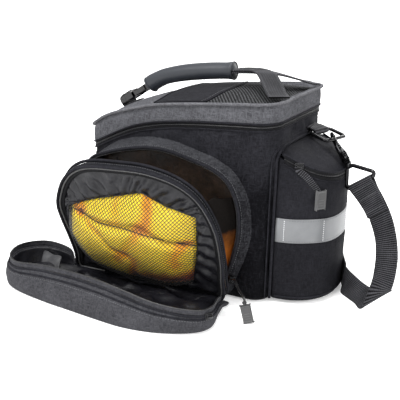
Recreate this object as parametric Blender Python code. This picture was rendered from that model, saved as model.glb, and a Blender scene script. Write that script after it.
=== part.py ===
"""Bicycle trunk bag with its left side pocket folded open.

The rear of the bag is at +X, the open pocket at -Y and the floor at z = 0.
The origin is the centre of the main body's flat base. Lengths are metres.
"""
import math

import bmesh
import bpy
from mathutils import Vector
from mathutils.bvhtree import BVHTree

# Driving dimensions of the main form
BAG_LENGTH = 0.261
BAG_WIDTH = 0.168
BAG_HEIGHT = 0.250
BODY_WALL = 0.005
LID_WALL = 0.003
REAR_CORNER = 0.024
FRONT_CORNER = 0.014
BASE_ROUND = 0.010
LID_OVERHANG = 0.002
LID_ROUND = 0.004
LID_DOME = 0.006
LID_PATCH = 0.0016
PATCH_LIFT = 0.0020
PIPING = 0.0019

# Rear pocket
REAR_DEPTH = 0.062
REAR_WIDTH = 0.133
REAR_ZIP_HIGH = 0.184
REAR_ZIP_LOW = 0.158
REAR_ARCH = 0.1925
REAR_WALL = 0.003
DOME_WALL = 0.002
REAR_CLEAR = 0.002
REAR_POWER = 2.3
DOME_POWER = 1.5
REAR_EDGE = 0.008
ZIP_COIL = 0.0018
BAND_BOTTOM = 0.0795
BAND_HEIGHT = 0.030
BAND_THICK = 0.0010

# Side pockets
FRAME_LENGTH = 0.224
FRAME_HEIGHT = 0.167
FRAME_DEPTH = 0.011
FRAME_SPREAD = 0.010
FRAME_WALL = 0.0032
FRAME_X = -0.010
FRAME_Z = 0.012
PANEL_LENGTH = 0.232
PANEL_HEIGHT = 0.172
PANEL_DEPTH = 0.012
PANEL_FLARE = 0.004
PANEL_WALL = 0.0022
PANEL_X = -0.026
PANEL_LEAN = math.radians(20)
NET_BULGE = 0.030
NET_CELLS_LONG = 10
NET_CELLS_HIGH = 8
NET_BAR = 0.30
NET_THICK = 0.0011
HEM_THICK = 0.0012
HEM_RUFFLE = 0.0022
HEM_FOLDS = 14
COVER_CLEAR = 0.0036
FLAP_LENGTH = 0.232
FLAP_REACH = 0.124
FLAP_RIM = 0.038
FLAP_WALL = 0.0022
FLAP_EDGE = 0.003
FLAP_TAPE = 0.006
TAPE_THICK = 0.0012
GUSSET_THICK = 0.0011
GUSSET_FOLD = 0.020
RIGHT_DEPTH = 0.058
RIGHT_WALL = 0.0025

# Handle
GRIP_RADIUS = 0.0108
LEG_WIDTH = 0.026
LEG_THICK = 0.0017
BUCKLE_LENGTH = 0.043
BUCKLE_WIDTH = 0.022
BUCKLE_THICK = 0.0075
BUCKLE_SLOT = 0.009
LOOP_WIDTH = 0.018

# Shoulder strap and its hardware
STRAP_WIDTH = 0.038
STRAP_THICK = 0.0016
TAB_WIDTH = 0.029
TAB_REACH = 0.0135
RING_WIRE = 0.0016
RING_WIDTH = 0.041
RING_LENGTH = 0.025
HOOK_WIRE = 0.0018
HOOK_LENGTH = 0.049
HOOK_BREADTH = 0.0072
GATE_WIRE = 0.0015
EYE_WIRE = 0.0018
YOKE_LENGTH = 0.008
CLASP_THICK = 0.005
CLASP_SLOT = 0.005
PULL_WIDTH = 0.010
PULL_THICK = 0.0012
TIP_LENGTH = 0.021
TIP_WIDTH = 0.0115
TIP_THICK = 0.0042
CORD_RADIUS = 0.0016
SLIDER_LENGTH = 0.011
SLIDER_WIDTH = 0.008
SLIDER_THICK = 0.0045

# Clearance between neighbouring pieces
GAP = 0.0003

HALF = BAG_LENGTH / 2
SIDE = BAG_WIDTH / 2
FRAME_FACE = SIDE + FRAME_DEPTH
HINGE_Y = -(FRAME_FACE + 2 * PIPING + GAP)
HINGE_Z = FRAME_Z
PANEL_UP = Vector((0, -math.sin(PANEL_LEAN), math.cos(PANEL_LEAN)))
PANEL_OUT = Vector((0, -math.cos(PANEL_LEAN), -math.sin(PANEL_LEAN)))


class Table:
    """Rows of shares under named columns, read along the first column."""

    def __init__(self, columns, rows):
        self.columns = columns
        self.rows = rows

    def column(self, name):
        place = self.columns.index(name)
        return [row[place] for row in self.rows]

    def at(self, name, where):
        along = self.column(self.columns[0])
        value = self.column(name)
        if where <= along[0]:
            return value[0]
        for low in range(len(along) - 1):
            if where <= along[low + 1]:
                share = (where - along[low]) / (along[low + 1] - along[low])
                return value[low] + share * (value[low + 1] - value[low])
        return value[-1]


# Side view of the bag: heights are shares of BAG_HEIGHT, half_width of half of BAG_WIDTH
SIDE_VIEW = Table(
    ("along", "rim", "lid_edge", "body_top", "half_width"),
    (
        (-1.00, 0.752, 0.660, 0.628, 0.760),
        (-0.90, 0.800, 0.684, 0.654, 0.776),
        (-0.73, 0.844, 0.732, 0.702, 0.810),
        (-0.48, 0.886, 0.794, 0.760, 0.870),
        (-0.23, 0.924, 0.832, 0.798, 0.940),
        (0.00, 0.944, 0.854, 0.822, 0.985),
        (0.30, 0.964, 0.872, 0.840, 1.000),
        (0.65, 0.984, 0.888, 0.854, 1.000),
        (1.00, 1.000, 0.900, 0.868, 1.000),
    ),
)
SIDE_STEPS = (-0.62, -0.24, 0.10, 0.45)

# Opening of the frame on the body's side, as shares of half FRAME_LENGTH and of FRAME_HEIGHT
FRAME_OUTLINE = Table(
    ("along", "up", "spread"),
    (
        (0.80, 0.00, 0.8),
        (0.87, 0.12, 0.9),
        (0.95, 0.28, 1.0),
        (1.00, 0.46, 1.0),
        (0.98, 0.62, 1.0),
        (0.91, 0.75, 1.0),
        (0.79, 0.85, 1.0),
        (0.60, 0.92, 1.0),
        (0.34, 0.965, 1.0),
        (0.08, 1.00, 1.0),
        (-0.18, 1.00, 1.0),
        (-0.45, 0.965, 1.0),
        (-0.70, 0.915, 0.8),
        (-0.90, 0.85, 0.3),
        (-0.99, 0.72, 0.1),
        (-1.00, 0.50, 0.1),
        (-0.97, 0.25, 0.1),
        (-0.92, 0.00, 0.5),
        (-0.45, 0.00, 0.8),
        (0.05, 0.00, 0.8),
        (0.45, 0.00, 0.8),
    ),
)
FRAME_BOTTOM_ROWS = 3

# Leaning panel, as shares of half PANEL_LENGTH and of PANEL_HEIGHT, with the rim's flare
PANEL_OUTLINE = Table(
    ("along", "up", "flare"),
    (
        (0.93, 0.00, 0.6),
        (0.985, 0.18, 1.0),
        (1.00, 0.38, 1.2),
        (0.98, 0.58, 1.4),
        (0.90, 0.75, 1.4),
        (0.78, 0.87, 1.2),
        (0.58, 0.955, 0.8),
        (0.28, 1.00, 0.4),
        (-0.05, 0.995, 0.2),
        (-0.38, 0.97, 0.2),
        (-0.585, 0.91, 0.2),
        (-0.73, 0.81, 0.3),
        (-0.83, 0.69, 0.4),
        (-0.895, 0.57, 0.5),
        (-0.90, 0.46, 0.5),
        (-0.86, 0.32, 0.5),
        (-0.82, 0.16, 0.4),
        (-0.80, 0.00, 0.4),
        (-0.40, 0.00, 0.0),
        (0.05, 0.00, 0.0),
        (0.50, 0.00, 0.0),
    ),
)
PANEL_BOTTOM_ROWS = 3

# Four sides of the net's window on the panel, as shares like the panel's own
WINDOW_TOP = Table(
    ("step", "along", "up"),
    (
        (0.00, -0.74, 0.60),
        (0.25, -0.40, 0.70),
        (0.50, 0.00, 0.785),
        (0.64, 0.22, 0.835),
        (0.80, 0.48, 0.755),
        (1.00, 0.82, 0.705),
    ),
)
WINDOW_BOTTOM = Table(
    ("step", "along", "up"),
    (
        (0.00, -0.70, 0.24),
        (0.25, -0.42, 0.13),
        (0.50, -0.05, 0.075),
        (0.75, 0.35, 0.07),
        (1.00, 0.66, 0.10),
    ),
)
WINDOW_FRONT = Table(
    ("step", "along", "up"),
    (
        (0.0, -0.70, 0.24),
        (0.5, -0.80, 0.42),
        (1.0, -0.74, 0.60),
    ),
)
WINDOW_REAR = Table(
    ("step", "along", "up"),
    (
        (0.0, 0.66, 0.10),
        (0.5, 0.77, 0.42),
        (1.0, 0.82, 0.705),
    ),
)

# Folded-down flap: the outline on the floor, then how far the rim stands out and up
FLAP_PLAN = Table(
    ("along", "reach", "rim_along", "rim_reach", "rim_up"),
    (
        (0.96, 0.00, 0.97, 0.00, 0.10),
        (0.99, 0.14, 1.00, 0.13, 0.26),
        (1.05, 0.36, 1.07, 0.36, 0.50),
        (1.11, 0.58, 1.14, 0.58, 0.60),
        (1.05, 0.74, 1.11, 0.77, 0.64),
        (0.87, 0.87, 0.90, 0.85, 0.65),
        (0.63, 0.96, 0.62, 0.89, 0.72),
        (0.34, 1.00, 0.33, 0.89, 0.86),
        (0.02, 0.975, -0.02, 0.865, 0.98),
        (-0.34, 0.93, -0.38, 0.83, 1.00),
        (-0.71, 0.88, -0.76, 0.79, 0.93),
        (-1.10, 0.79, -1.14, 0.735, 0.76),
        (-1.32, 0.65, -1.38, 0.55, 0.68),
        (-1.40, 0.43, -1.47, 0.32, 0.70),
        (-1.36, 0.20, -1.41, 0.12, 0.70),
        (-1.20, 0.05, -1.24, 0.00, 0.68),
        (-0.96, 0.01, -0.98, -0.01, 0.55),
        (-0.86, 0.00, -0.87, 0.00, 0.10),
        (-0.40, 0.00, -0.40, 0.00, 0.10),
        (0.05, 0.00, 0.05, 0.00, 0.10),
        (0.50, 0.00, 0.50, 0.00, 0.10),
    ),
)
FLAP_RIM_ROWS = 18

# Grip's centre line as shares of half BAG_LENGTH and of BAG_HEIGHT, and its girth
GRIP_LINE = Table(
    ("along", "up", "girth"),
    (
        (-0.625, 0.945, 0.80),
        (-0.605, 0.955, 1.04),
        (-0.555, 0.973, 1.02),
        (-0.430, 1.005, 0.97),
        (-0.210, 1.035, 1.00),
        (0.040, 1.057, 1.00),
        (0.225, 1.068, 0.98),
        (0.290, 1.071, 1.04),
        (0.310, 1.072, 0.80),
    ),
)

# Handle's rear leg: shares of half BAG_LENGTH, of half BAG_WIDTH and of BAG_HEIGHT
LEG_LINE = Table(
    ("along", "across", "up", "turn"),
    (
        (0.325, 0.00, 1.073, 0.0),
        (0.440, 0.00, 1.080, 0.0),
        (0.560, 0.03, 1.084, 0.25),
        (0.680, 0.16, 1.078, 0.80),
        (0.800, 0.38, 1.050, 1.0),
        (0.900, 0.58, 1.022, 1.0),
        (0.965, 0.71, 1.012, 1.0),
    ),
)

# Strap from the eye to the far clasp: its inner edge as shares of BAG_LENGTH, BAG_WIDTH and
# BAG_HEIGHT, and the direction across it, which is made one unit long
STRAP_LINE = Table(
    ("step", "along", "across", "up", "wide_x", "wide_y", "wide_z"),
    (
        (0, 0.7750, 0.000, 0.548, 0.78, -0.25, 0.57),
        (1, 0.798, -0.036, 0.488, 0.92, -0.10, 0.36),
        (2, 0.832, -0.090, 0.433, 0.98, -0.04, 0.20),
        (3, 0.882, -0.131, 0.380, 0.97, -0.12, 0.12),
        (4, 0.916, -0.155, 0.320, 0.95, -0.22, 0.07),
        (5, 0.930, -0.167, 0.250, 0.95, -0.27, 0.10),
        (6, 0.930, -0.178, 0.190, 0.95, -0.28, -0.08),
        (7, 0.925, -0.190, 0.158, 0.82, -0.25, -0.52),
        (8, 0.922, -0.187, 0.1560, 0.62, -0.20, -0.76),
        (9, 0.914, -0.180, 0.1535, 0.28, -0.06, -0.957),
        (10, 0.898, -0.168, 0.1552, 0.05, 0.04, -1.00),
        (11, 0.848, -0.128, 0.1556, 0.02, 0.02, -1.00),
        (12, 0.790, -0.050, 0.1556, 0.01, 0.01, -1.00),
        (13, 0.768, 0.060, 0.1556, 0.00, 0.00, -1.00),
        (14, 0.747, 0.130, 0.1556, 0.00, 0.00, -1.00),
        (15, 0.720, 0.225, 0.1556, 0.00, 0.00, -1.00),
        (16, 0.690, 0.325, 0.1556, 0.00, 0.00, -1.00),
        (17, 0.640, 0.420, 0.1556, 0.00, 0.00, -1.00),
        (18, 0.590, 0.520, 0.160, 0.12, 0.16, -0.98),
        (19, 0.535, 0.640, 0.140, 0.42, 0.38, -0.80),
        (20, 0.470, 0.760, 0.080, 0.48, 0.72, -0.42),
        (21, 0.360, 0.860, 0.0120, 0.28, 0.95, 0.0),
        (22, 0.100, 0.920, 0.0065, 0.00, 1.00, 0.0),
        (23, -0.160, 0.920, 0.0070, -0.08, 1.00, 0.0),
        (24, -0.330, 0.880, 0.0070, -0.40, 0.90, 0.0),
        (25, -0.480, 0.770, 0.0075, -0.80, 0.60, 0.0),
        (26, -0.550, 0.600, 0.0090, -1.00, 0.15, 0.0),
        (27, -0.568, 0.480, 0.018, -0.96, -0.25, 0.15),
        (28, -0.580, 0.350, 0.060, -0.72, -0.68, 0.10),
        (29, -0.590, 0.290, 0.130, -0.40, -0.92, 0.05),
        (30, -0.592, 0.260, 0.205, -0.12, -0.99, 0.0),
        (31, -0.588, 0.246, 0.280, 0.00, -1.00, 0.0),
    ),
)
STRAP_DOUBLED = 8


def remove_scene_objects():
    for item in list(bpy.data.objects):
        bpy.data.objects.remove(item, do_unlink=True)


def make_material(name, color, roughness, metallic=0.0):
    material = bpy.data.materials.new(name)
    material.use_nodes = True
    shader = material.node_tree.nodes["Principled BSDF"]
    shader.inputs["Base Color"].default_value = (*color, 1.0)
    shader.inputs["Roughness"].default_value = roughness
    shader.inputs["Metallic"].default_value = metallic
    return material


FABRIC = ((0.030, 0.031, 0.035), 0.85)
LIGHTER_FABRIC = ((0.055, 0.056, 0.062), 0.75)
LINING = ((0.018, 0.018, 0.022), 0.45)
WEBBING = ((0.022, 0.022, 0.024), 0.70)
FOAM = ((0.035, 0.040, 0.048), 0.60)
YELLOW = ((0.80, 0.47, 0.02), 0.55)
BROWN = ((0.28, 0.09, 0.02), 0.60)
REFLECTIVE = ((0.32, 0.33, 0.34), 0.35)
PLASTIC = ((0.020, 0.020, 0.022), 0.35)
GREY_RUBBER = ((0.14, 0.14, 0.145), 0.55)
DARK_METAL = ((0.10, 0.10, 0.105), 0.30, 0.9)


def place_mesh(name, mesh, look):
    """Put a mesh into the scene as one named object with its own material."""
    item = bpy.data.objects.new(name, mesh)
    bpy.context.scene.collection.objects.link(item)
    mesh.materials.append(make_material(name + "_material", *look))
    mesh.shade_smooth()
    mesh.set_sharp_from_angle(angle=math.radians(50))
    return item


def bmesh_object(name, shape, look):
    bmesh.ops.remove_doubles(shape, verts=shape.verts, dist=1e-7)
    bmesh.ops.recalc_face_normals(shape, faces=shape.faces)
    mesh = bpy.data.meshes.new(name)
    shape.to_mesh(mesh)
    shape.free()
    return place_mesh(name, mesh, look)


def skin(name, rings, look, closed_loop=False):
    """One closed body through rings of points, capped unless the last ring meets the first."""
    shape = bmesh.new()
    rows = [[shape.verts.new(point) for point in ring] for ring in rings]
    pairs = list(zip(rows, rows[1:]))
    if closed_loop:
        pairs.append((rows[-1], rows[0]))
    for low, high in pairs:
        for here in range(len(low)):
            after = (here + 1) % len(low)
            shape.faces.new((low[here], low[after], high[after], high[here]))
    if not closed_loop:
        shape.faces.new(list(reversed(rows[0])))
        shape.faces.new(rows[-1])
    return bmesh_object(name, shape, look)


def sheet(name, grid, thickness, look, side=-1.0):
    """A cloth wall from rows of points, thickened by a Solidify modifier."""
    shape = bmesh.new()
    rows = [[shape.verts.new(point) for point in row] for row in grid]
    for low, high in zip(rows, rows[1:]):
        for here in range(len(low) - 1):
            shape.faces.new((low[here], low[here + 1], high[here + 1], high[here]))
    mesh = bpy.data.meshes.new(name)
    shape.to_mesh(mesh)
    shape.free()
    item = place_mesh(name, mesh, look)
    wall = item.modifiers.new("Wall", "SOLIDIFY")
    wall.thickness = thickness
    wall.offset = side
    wall.use_even_offset = True
    wall.use_quality_normals = True
    return item


def tube(name, points, radius, look, cyclic=False, roundness=1):
    """A round piping, cord or wire as a bevelled curve with filled ends."""
    curve = bpy.data.curves.new(name, "CURVE")
    curve.dimensions = "3D"
    curve.bevel_depth = radius
    curve.bevel_resolution = roundness
    curve.use_fill_caps = True
    spline = curve.splines.new("POLY")
    spline.points.add(len(points) - 1)
    for place, point in zip(spline.points, points):
        place.co = (*point, 1.0)
    spline.use_cyclic_u = cyclic
    item = bpy.data.objects.new(name, curve)
    bpy.context.scene.collection.objects.link(item)
    curve.materials.append(make_material(name + "_material", *look))
    return item


def ribbon_rings(centres, widths, width, thickness):
    """Rectangular sections of a strip, one for each centre and direction of its width."""
    rings = []
    for here, (centre, wide) in enumerate(zip(centres, widths)):
        before = centres[max(here - 1, 0)]
        after = centres[min(here + 1, len(centres) - 1)]
        ahead = (after - before).normalized()
        wide = (wide - ahead * wide.dot(ahead)).normalized()
        normal = ahead.cross(wide).normalized()
        half_wide = wide * width / 2
        half_thick = normal * thickness / 2
        rings.append([
            centre - half_wide - half_thick,
            centre + half_wide - half_thick,
            centre + half_wide + half_thick,
            centre - half_wide + half_thick,
        ])
    return rings


def ribbon(name, centres, widths, width, thickness, look):
    return skin(name, ribbon_rings(centres, widths, width, thickness), look)


def block(name, centre, axes, size, look, bevel=0.0):
    """A box with its own axes, its edges rounded by a Bevel modifier."""
    shape = bmesh.new()
    bmesh.ops.create_cube(shape, size=1.0)
    for vert in shape.verts:
        local = vert.co
        vert.co = centre + sum((axes[i] * local[i] * size[i] for i in range(3)), Vector())
    item = bmesh_object(name, shape, look)
    if bevel:
        rounding = item.modifiers.new("Rounding", "BEVEL")
        rounding.width = bevel
        rounding.segments = 1
    return item


def boolean(item, other, operation):
    """Cut or join with another object, which then stays behind as a hidden guide."""
    step = item.modifiers.new(operation.title(), "BOOLEAN")
    step.operation = operation
    step.object = other
    step.solver = "EXACT"
    other.hide_render = True
    other.display_type = "WIRE"


def smooth_loop(points, steps, closed=True):
    """Points on a Catmull-Rom curve through the given ones, steps to each span."""
    count = len(points)
    spans = count if closed else count - 1
    result = []
    for span in range(spans):
        if closed:
            four = [points[(span + k) % count] for k in (-1, 0, 1, 2)]
        else:
            four = [points[min(max(span + k, 0), count - 1)] for k in (-1, 0, 1, 2)]
        for step in range(steps):
            t = step / steps
            result.append(0.5 * (
                2 * four[1]
                + (four[2] - four[0]) * t
                + (2 * four[0] - 5 * four[1] + 4 * four[2] - four[3]) * t * t
                + (3 * four[1] - four[0] - 3 * four[2] + four[3]) * t ** 3
            ))
    if not closed:
        result.append(points[-1].copy())
    return result


def subdivide(points, steps):
    """More points along a closed outline's straight sides."""
    result = []
    for here, point in enumerate(points):
        after = points[(here + 1) % len(points)]
        result += [point.lerp(after, step / steps) for step in range(steps)]
    return result


def grow(outline, amounts):
    """Move a flat anticlockwise outline outward, by one amount at each point."""
    count = len(outline)
    result = []
    for here in range(count):
        before = outline[here - 1]
        after = outline[(here + 1) % count]
        ahead = (after - before).normalized()
        result.append(outline[here] + Vector((ahead.y, -ahead.x)) * amounts[here])
    return result


# Main form

def side_height(column, x):
    return SIDE_VIEW.at(column, x / HALF) * BAG_HEIGHT


def half_width(x):
    return SIDE_VIEW.at("half_width", x / HALF) * SIDE


def arc(centre, radius, start, end, steps):
    angles = [start + (end - start) * step / steps for step in range(steps + 1)]
    return [centre + Vector((math.cos(a), math.sin(a))) * radius for a in angles]


def body_outline(offset=0.0):
    """Plan of the body: a rounded rectangle that narrows towards the front."""
    front_centre = Vector((-HALF + FRONT_CORNER, -(half_width(-HALF) - FRONT_CORNER)))
    rear_centre = Vector((HALF - REAR_CORNER, -(SIDE - REAR_CORNER)))
    left = arc(front_centre, FRONT_CORNER + offset, math.pi, math.radians(262), 3)
    left += [Vector((share * HALF, -(half_width(share * HALF) + offset))) for share in SIDE_STEPS]
    left += arc(rear_centre, REAR_CORNER + offset, math.radians(270), math.radians(360), 4)
    right = [Vector((point.x, -point.y)) for point in reversed(left)]
    return left + right


def body_ring(offset, height):
    """The body's plan at a height that may change along the bag."""
    return [Vector((p.x, p.y, height(p.x))) for p in body_outline(offset)]


def side_wall(x):
    """How far out the body's faceted side stands at a place along the bag."""
    left = sorted((p.x, -p.y) for p in body_outline() if p.y < 0)
    for low, high in zip(left, left[1:]):
        if low[0] <= x <= high[0] and high[0] > low[0]:
            return low[1] + (high[1] - low[1]) * (x - low[0]) / (high[0] - low[0])
    return left[-1][1]


def flat(level):
    return lambda x: level


def share_of_wall(share):
    return lambda x: BASE_ROUND + share * (side_height("body_top", x) - BASE_ROUND)


def build_main_body():
    inside = -BODY_WALL
    rings = [
        body_ring(-BASE_ROUND, flat(0.0)),
        body_ring(-0.35 * BASE_ROUND, flat(0.25 * BASE_ROUND)),
        body_ring(0.0, flat(BASE_ROUND)),
        body_ring(0.0, share_of_wall(0.5)),
        body_ring(0.0, share_of_wall(1.0)),
        body_ring(inside, share_of_wall(1.0)),
        body_ring(inside, flat(BASE_ROUND + BODY_WALL)),
        body_ring(inside - 0.35 * BASE_ROUND, flat(BODY_WALL)),
    ]
    skin("main_body", rings, FABRIC)


def lid_top(x, y):
    """Height of the lid's top: the side view's rim with a slight dome across."""
    across = min(abs(y) / half_width(x), 1.0)
    along = min(abs(x) / HALF, 1.0)
    return side_height("rim", x) + LID_DOME * (1 - across ** 2) * (1 - along ** 4)


def lid_ring(share, drop=0.0):
    """The lid's plan drawn in towards its middle line, laid on the lid's top."""
    outline = body_outline(LID_OVERHANG - LID_ROUND)
    points = [Vector((p.x * (0.25 + 0.75 * share), p.y * share)) for p in outline]
    return [Vector((p.x, p.y, lid_top(p.x, p.y) - drop)) for p in points]


def build_lid():
    edge = lambda x: side_height("lid_edge", x)
    shoulder = lambda x: side_height("rim", x) - LID_ROUND
    middle = lambda x: 0.5 * (edge(x) + shoulder(x))
    inner_shoulder = lambda x: side_height("rim", x) - LID_ROUND - LID_WALL
    rings = [
        lid_ring(0.12),
        lid_ring(0.55),
        lid_ring(0.85),
        lid_ring(1.0),
        body_ring(LID_OVERHANG, shoulder),
        body_ring(LID_OVERHANG + 0.001, middle),
        body_ring(LID_OVERHANG, edge),
        body_ring(LID_OVERHANG - LID_WALL, edge),
        body_ring(LID_OVERHANG - LID_WALL, inner_shoulder),
        lid_ring(0.93, LID_WALL),
        lid_ring(0.55, LID_WALL),
        lid_ring(0.12, LID_WALL),
    ]
    skin("lid", rings, FABRIC)


def build_lid_zipper():
    """Zip band that fills the slit between the body's top and the lid's edge."""
    low = lambda x: side_height("body_top", x) + GAP
    high = lambda x: side_height("lid_edge", x) - GAP
    middle = lambda x: 0.5 * (low(x) + high(x))
    rings = [
        body_ring(-LID_WALL, low),
        body_ring(0.0005, low),
        body_ring(0.0025, middle),
        body_ring(0.0005, high),
        body_ring(-LID_WALL, high),
    ]
    skin("lid_zipper", rings, LINING, closed_loop=True)


def build_lid_piping():
    out = LID_OVERHANG + PIPING + GAP
    height = lambda x: side_height("rim", x) - 0.5 * LID_ROUND
    tube("lid_piping", body_ring(out, height), PIPING, FABRIC, cyclic=True)


def patch_grid(front, rear, across, columns, rows):
    """Points just over the lid between a front line and a rear line, both functions of y."""
    lid = bpy.data.objects["lid"].data
    corners = [vert.co.copy() for vert in lid.vertices]
    surface = BVHTree.FromPolygons(corners, [tuple(face.vertices) for face in lid.polygons])
    grid = []
    for column in range(columns + 1):
        line = []
        for row in range(rows + 1):
            y = across * (2 * row / rows - 1)
            x = front(y) + (rear(y) - front(y)) * column / columns
            hit = surface.ray_cast(Vector((x, y, 2 * BAG_HEIGHT)), Vector((0, 0, -1)))[0]
            line.append(Vector((x, y, hit.z + PATCH_LIFT)))
        grid.append(line)
    return grid


def strip_edge(y):
    """Arched seam between the smooth strip and the air mesh."""
    return HALF * (0.36 - 0.14 * (y / SIDE) ** 2 - 0.05 * y / SIDE)


def build_lid_patches():
    across = 0.86 * SIDE
    front = lambda y: HALF * (-0.20 + 0.06 * y / SIDE)
    rear = lambda y: HALF * 0.80
    strip = patch_grid(front, strip_edge, across, 4, 8)
    sheet("lid_strip", strip, LID_PATCH, LIGHTER_FABRIC)
    beyond = lambda y: strip_edge(y) + 3 * GAP
    mesh = patch_grid(beyond, rear, across, 5, 8)
    sheet("lid_mesh", mesh, LID_PATCH, LINING)


# Rear pocket

def rear_point(turn, offset=0.0):
    """A point of the pocket's D-shaped plan, turn running from -90 to 90 degrees."""
    deep = REAR_DEPTH + offset
    wide = REAR_WIDTH / 2 + offset
    c = abs(math.cos(turn)) ** (2 / REAR_POWER)
    s = abs(math.sin(turn)) ** (2 / REAR_POWER)
    return Vector((HALF + deep * c, math.copysign(wide * s, turn)))


def rear_turns(steps, limit=90.0):
    return [math.radians(limit * (2 * step / steps - 1)) for step in range(steps + 1)]


def wall_x(y):
    """Where the body's rear wall stands at a distance from its middle."""
    beyond = abs(y) - (SIDE - REAR_CORNER)
    if beyond <= 0:
        return HALF
    return HALF - REAR_CORNER + math.sqrt(max(REAR_CORNER ** 2 - beyond ** 2, 0.0))


def zip_height(x):
    share = max(0.0, min(1.0, (x - HALF) / REAR_DEPTH))
    return REAR_ZIP_HIGH - (REAR_ZIP_HIGH - REAR_ZIP_LOW) * share


def rear_ring(offset, height):
    """Closed plan of the pocket: its D and a back that follows the body's wall."""
    points = [rear_point(turn, offset) for turn in rear_turns(14, 88.0)]
    wide = points[-1].y
    bend = SIDE - REAR_CORNER
    across = (0.985 * wide, bend, 0.4 * bend, -0.4 * bend, -bend, -0.985 * wide)
    back = [Vector((wall_x(y) + GAP - offset, y)) for y in across]
    return [Vector((p.x, p.y, height(p.x))) for p in points + back]


def build_rear_pocket():
    top = lambda x: zip_height(x) - ZIP_COIL - GAP
    inner = -REAR_WALL
    rings = [
        rear_ring_scaled(0.86, REAR_CLEAR),
        rear_ring_scaled(0.965, REAR_CLEAR + 0.35 * REAR_EDGE),
        rear_ring(0.0, flat(REAR_CLEAR + REAR_EDGE)),
        rear_ring(0.0, flat(0.5 * REAR_ZIP_LOW)),
        rear_ring(0.0, top),
        rear_ring(inner, top),
        rear_ring(inner, flat(REAR_CLEAR + REAR_EDGE + REAR_WALL)),
    ]
    skin("rear_pocket", rings, FABRIC)


def rear_ring_scaled(share, level):
    """The pocket's plan drawn in towards the wall, for its rounded lower edge."""
    ring = rear_ring(0.0, flat(level))
    return [Vector((HALF + GAP + (p.x - HALF - GAP) * share, p.y * share, p.z)) for p in ring]


def dome_point(turn, inward, offset=0.0):
    """A point of the domed top: inward is 0 at the zip and 1 at the body's wall."""
    edge = rear_point(turn, offset)
    run = 1 - inward
    narrowing = 1 - 0.10 * inward
    y = edge.y * narrowing
    start = wall_x(y) + 4 * GAP
    x = start + (edge.x - start) * run if edge.x > start else start
    low = zip_height(edge.x) + ZIP_COIL + 0.0022
    fall = (abs(edge.y) / (REAR_WIDTH / 2)) ** 6
    high = REAR_ARCH - 0.006 * fall
    return Vector((x, y, high - (high - low) * run ** DOME_POWER + offset))


def build_rear_lid():
    grid = []
    for step in range(6):
        inward = step / 5
        grid.append([dome_point(turn, inward) for turn in rear_turns(14, 84.0)])
    sheet("rear_pocket_lid", grid, DOME_WALL, FABRIC, side=-1.0)


def build_rear_zipper():
    turns = rear_turns(16, 84.0)
    points = [rear_point(turn, -ZIP_COIL) for turn in turns]
    line = [Vector((p.x, p.y, zip_height(p.x))) for p in points]
    tube("rear_pocket_zipper", line, ZIP_COIL, LINING)


def build_rear_piping():
    """Piping that runs up one side of the pocket's root, over the arch and down again."""
    out = PIPING + GAP
    side = REAR_WIDTH / 2 + out + 0.0006
    top = REAR_ARCH + out + 0.0004
    bend = 0.016
    corner = []
    for step in range(5):
        angle = math.radians(90 * step / 4)
        corner.append((side - bend + bend * math.cos(angle), top - bend + bend * math.sin(angle)))
    half = [(side, 0.012), (side, 0.07), (side, 0.13)] + corner + [(0.55 * side, top)]
    path = half + [(0.0, top)] + [(-y, z) for y, z in reversed(half)]
    line = [Vector((wall_x(y) + out, y, z)) for y, z in path]
    tube("rear_pocket_piping", line, PIPING, FABRIC)


def build_band():
    rings = []
    inner = GAP
    outer = GAP + BAND_THICK
    for turn in rear_turns(14, 88.0):
        near = rear_point(turn, inner)
        far = rear_point(turn, outer)
        top = BAND_BOTTOM + BAND_HEIGHT
        rings.append([
            Vector((near.x, near.y, BAND_BOTTOM)),
            Vector((far.x, far.y, BAND_BOTTOM)),
            Vector((far.x, far.y, top)),
            Vector((near.x, near.y, top)),
        ])
    skin("reflective_band", rings, REFLECTIVE)


# Open side pocket

def outline_points(table, half_length, height):
    rows = zip(table.column("along"), table.column("up"))
    return [Vector((along * half_length, up * height)) for along, up in rows]


def frame_loop(offset, spread=0.0):
    """The frame's opening in the side view, grown by an offset and by the spread column."""
    outline = outline_points(FRAME_OUTLINE, FRAME_LENGTH / 2, FRAME_HEIGHT)
    amounts = [offset + spread * share for share in FRAME_OUTLINE.column("spread")]
    return grow(outline, amounts)


def on_side(points, depth):
    """Stand side-view points up at a distance from the bag's middle plane."""
    return [Vector((p.x + FRAME_X, -depth, p.y + FRAME_Z)) for p in points]


def on_wall(points, extra, sign=-1):
    placed = []
    for p in points:
        x = p.x + FRAME_X
        placed.append(Vector((x, sign * (side_wall(x) + extra), p.y + FRAME_Z)))
    return placed


def build_pocket_frame():
    rings = [
        on_wall(frame_loop(0.0, FRAME_SPREAD), 4 * GAP),
        on_side(frame_loop(0.0), FRAME_FACE),
        on_side(frame_loop(-FRAME_WALL), FRAME_FACE),
        on_wall(frame_loop(-FRAME_WALL, FRAME_SPREAD - FRAME_WALL), 4 * GAP),
    ]
    skin("pocket_frame", rings, LIGHTER_FABRIC, closed_loop=True)
    arch = on_side(frame_loop(-PIPING), FRAME_FACE + PIPING + GAP)
    upright = arch[:len(arch) - FRAME_BOTTOM_ROWS]
    line = smooth_loop(upright, 2, closed=False)
    tube("pocket_frame_piping", line, PIPING, LINING)


def on_panel(along, up, depth):
    """A point of the leaning panel from its distances along, up and outward."""
    hinge = Vector((PANEL_X + along, HINGE_Y, HINGE_Z))
    return hinge + PANEL_UP * up + PANEL_OUT * depth


def panel_loop(offset, flare=0.0):
    outline = outline_points(PANEL_OUTLINE, PANEL_LENGTH / 2, PANEL_HEIGHT)
    amounts = [offset + flare * share for share in PANEL_OUTLINE.column("flare")]
    return grow(outline, amounts)


def panel_ring(offset, depth, flare=0.0):
    return [on_panel(p.x, p.y, depth) for p in panel_loop(offset, flare)]


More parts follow.
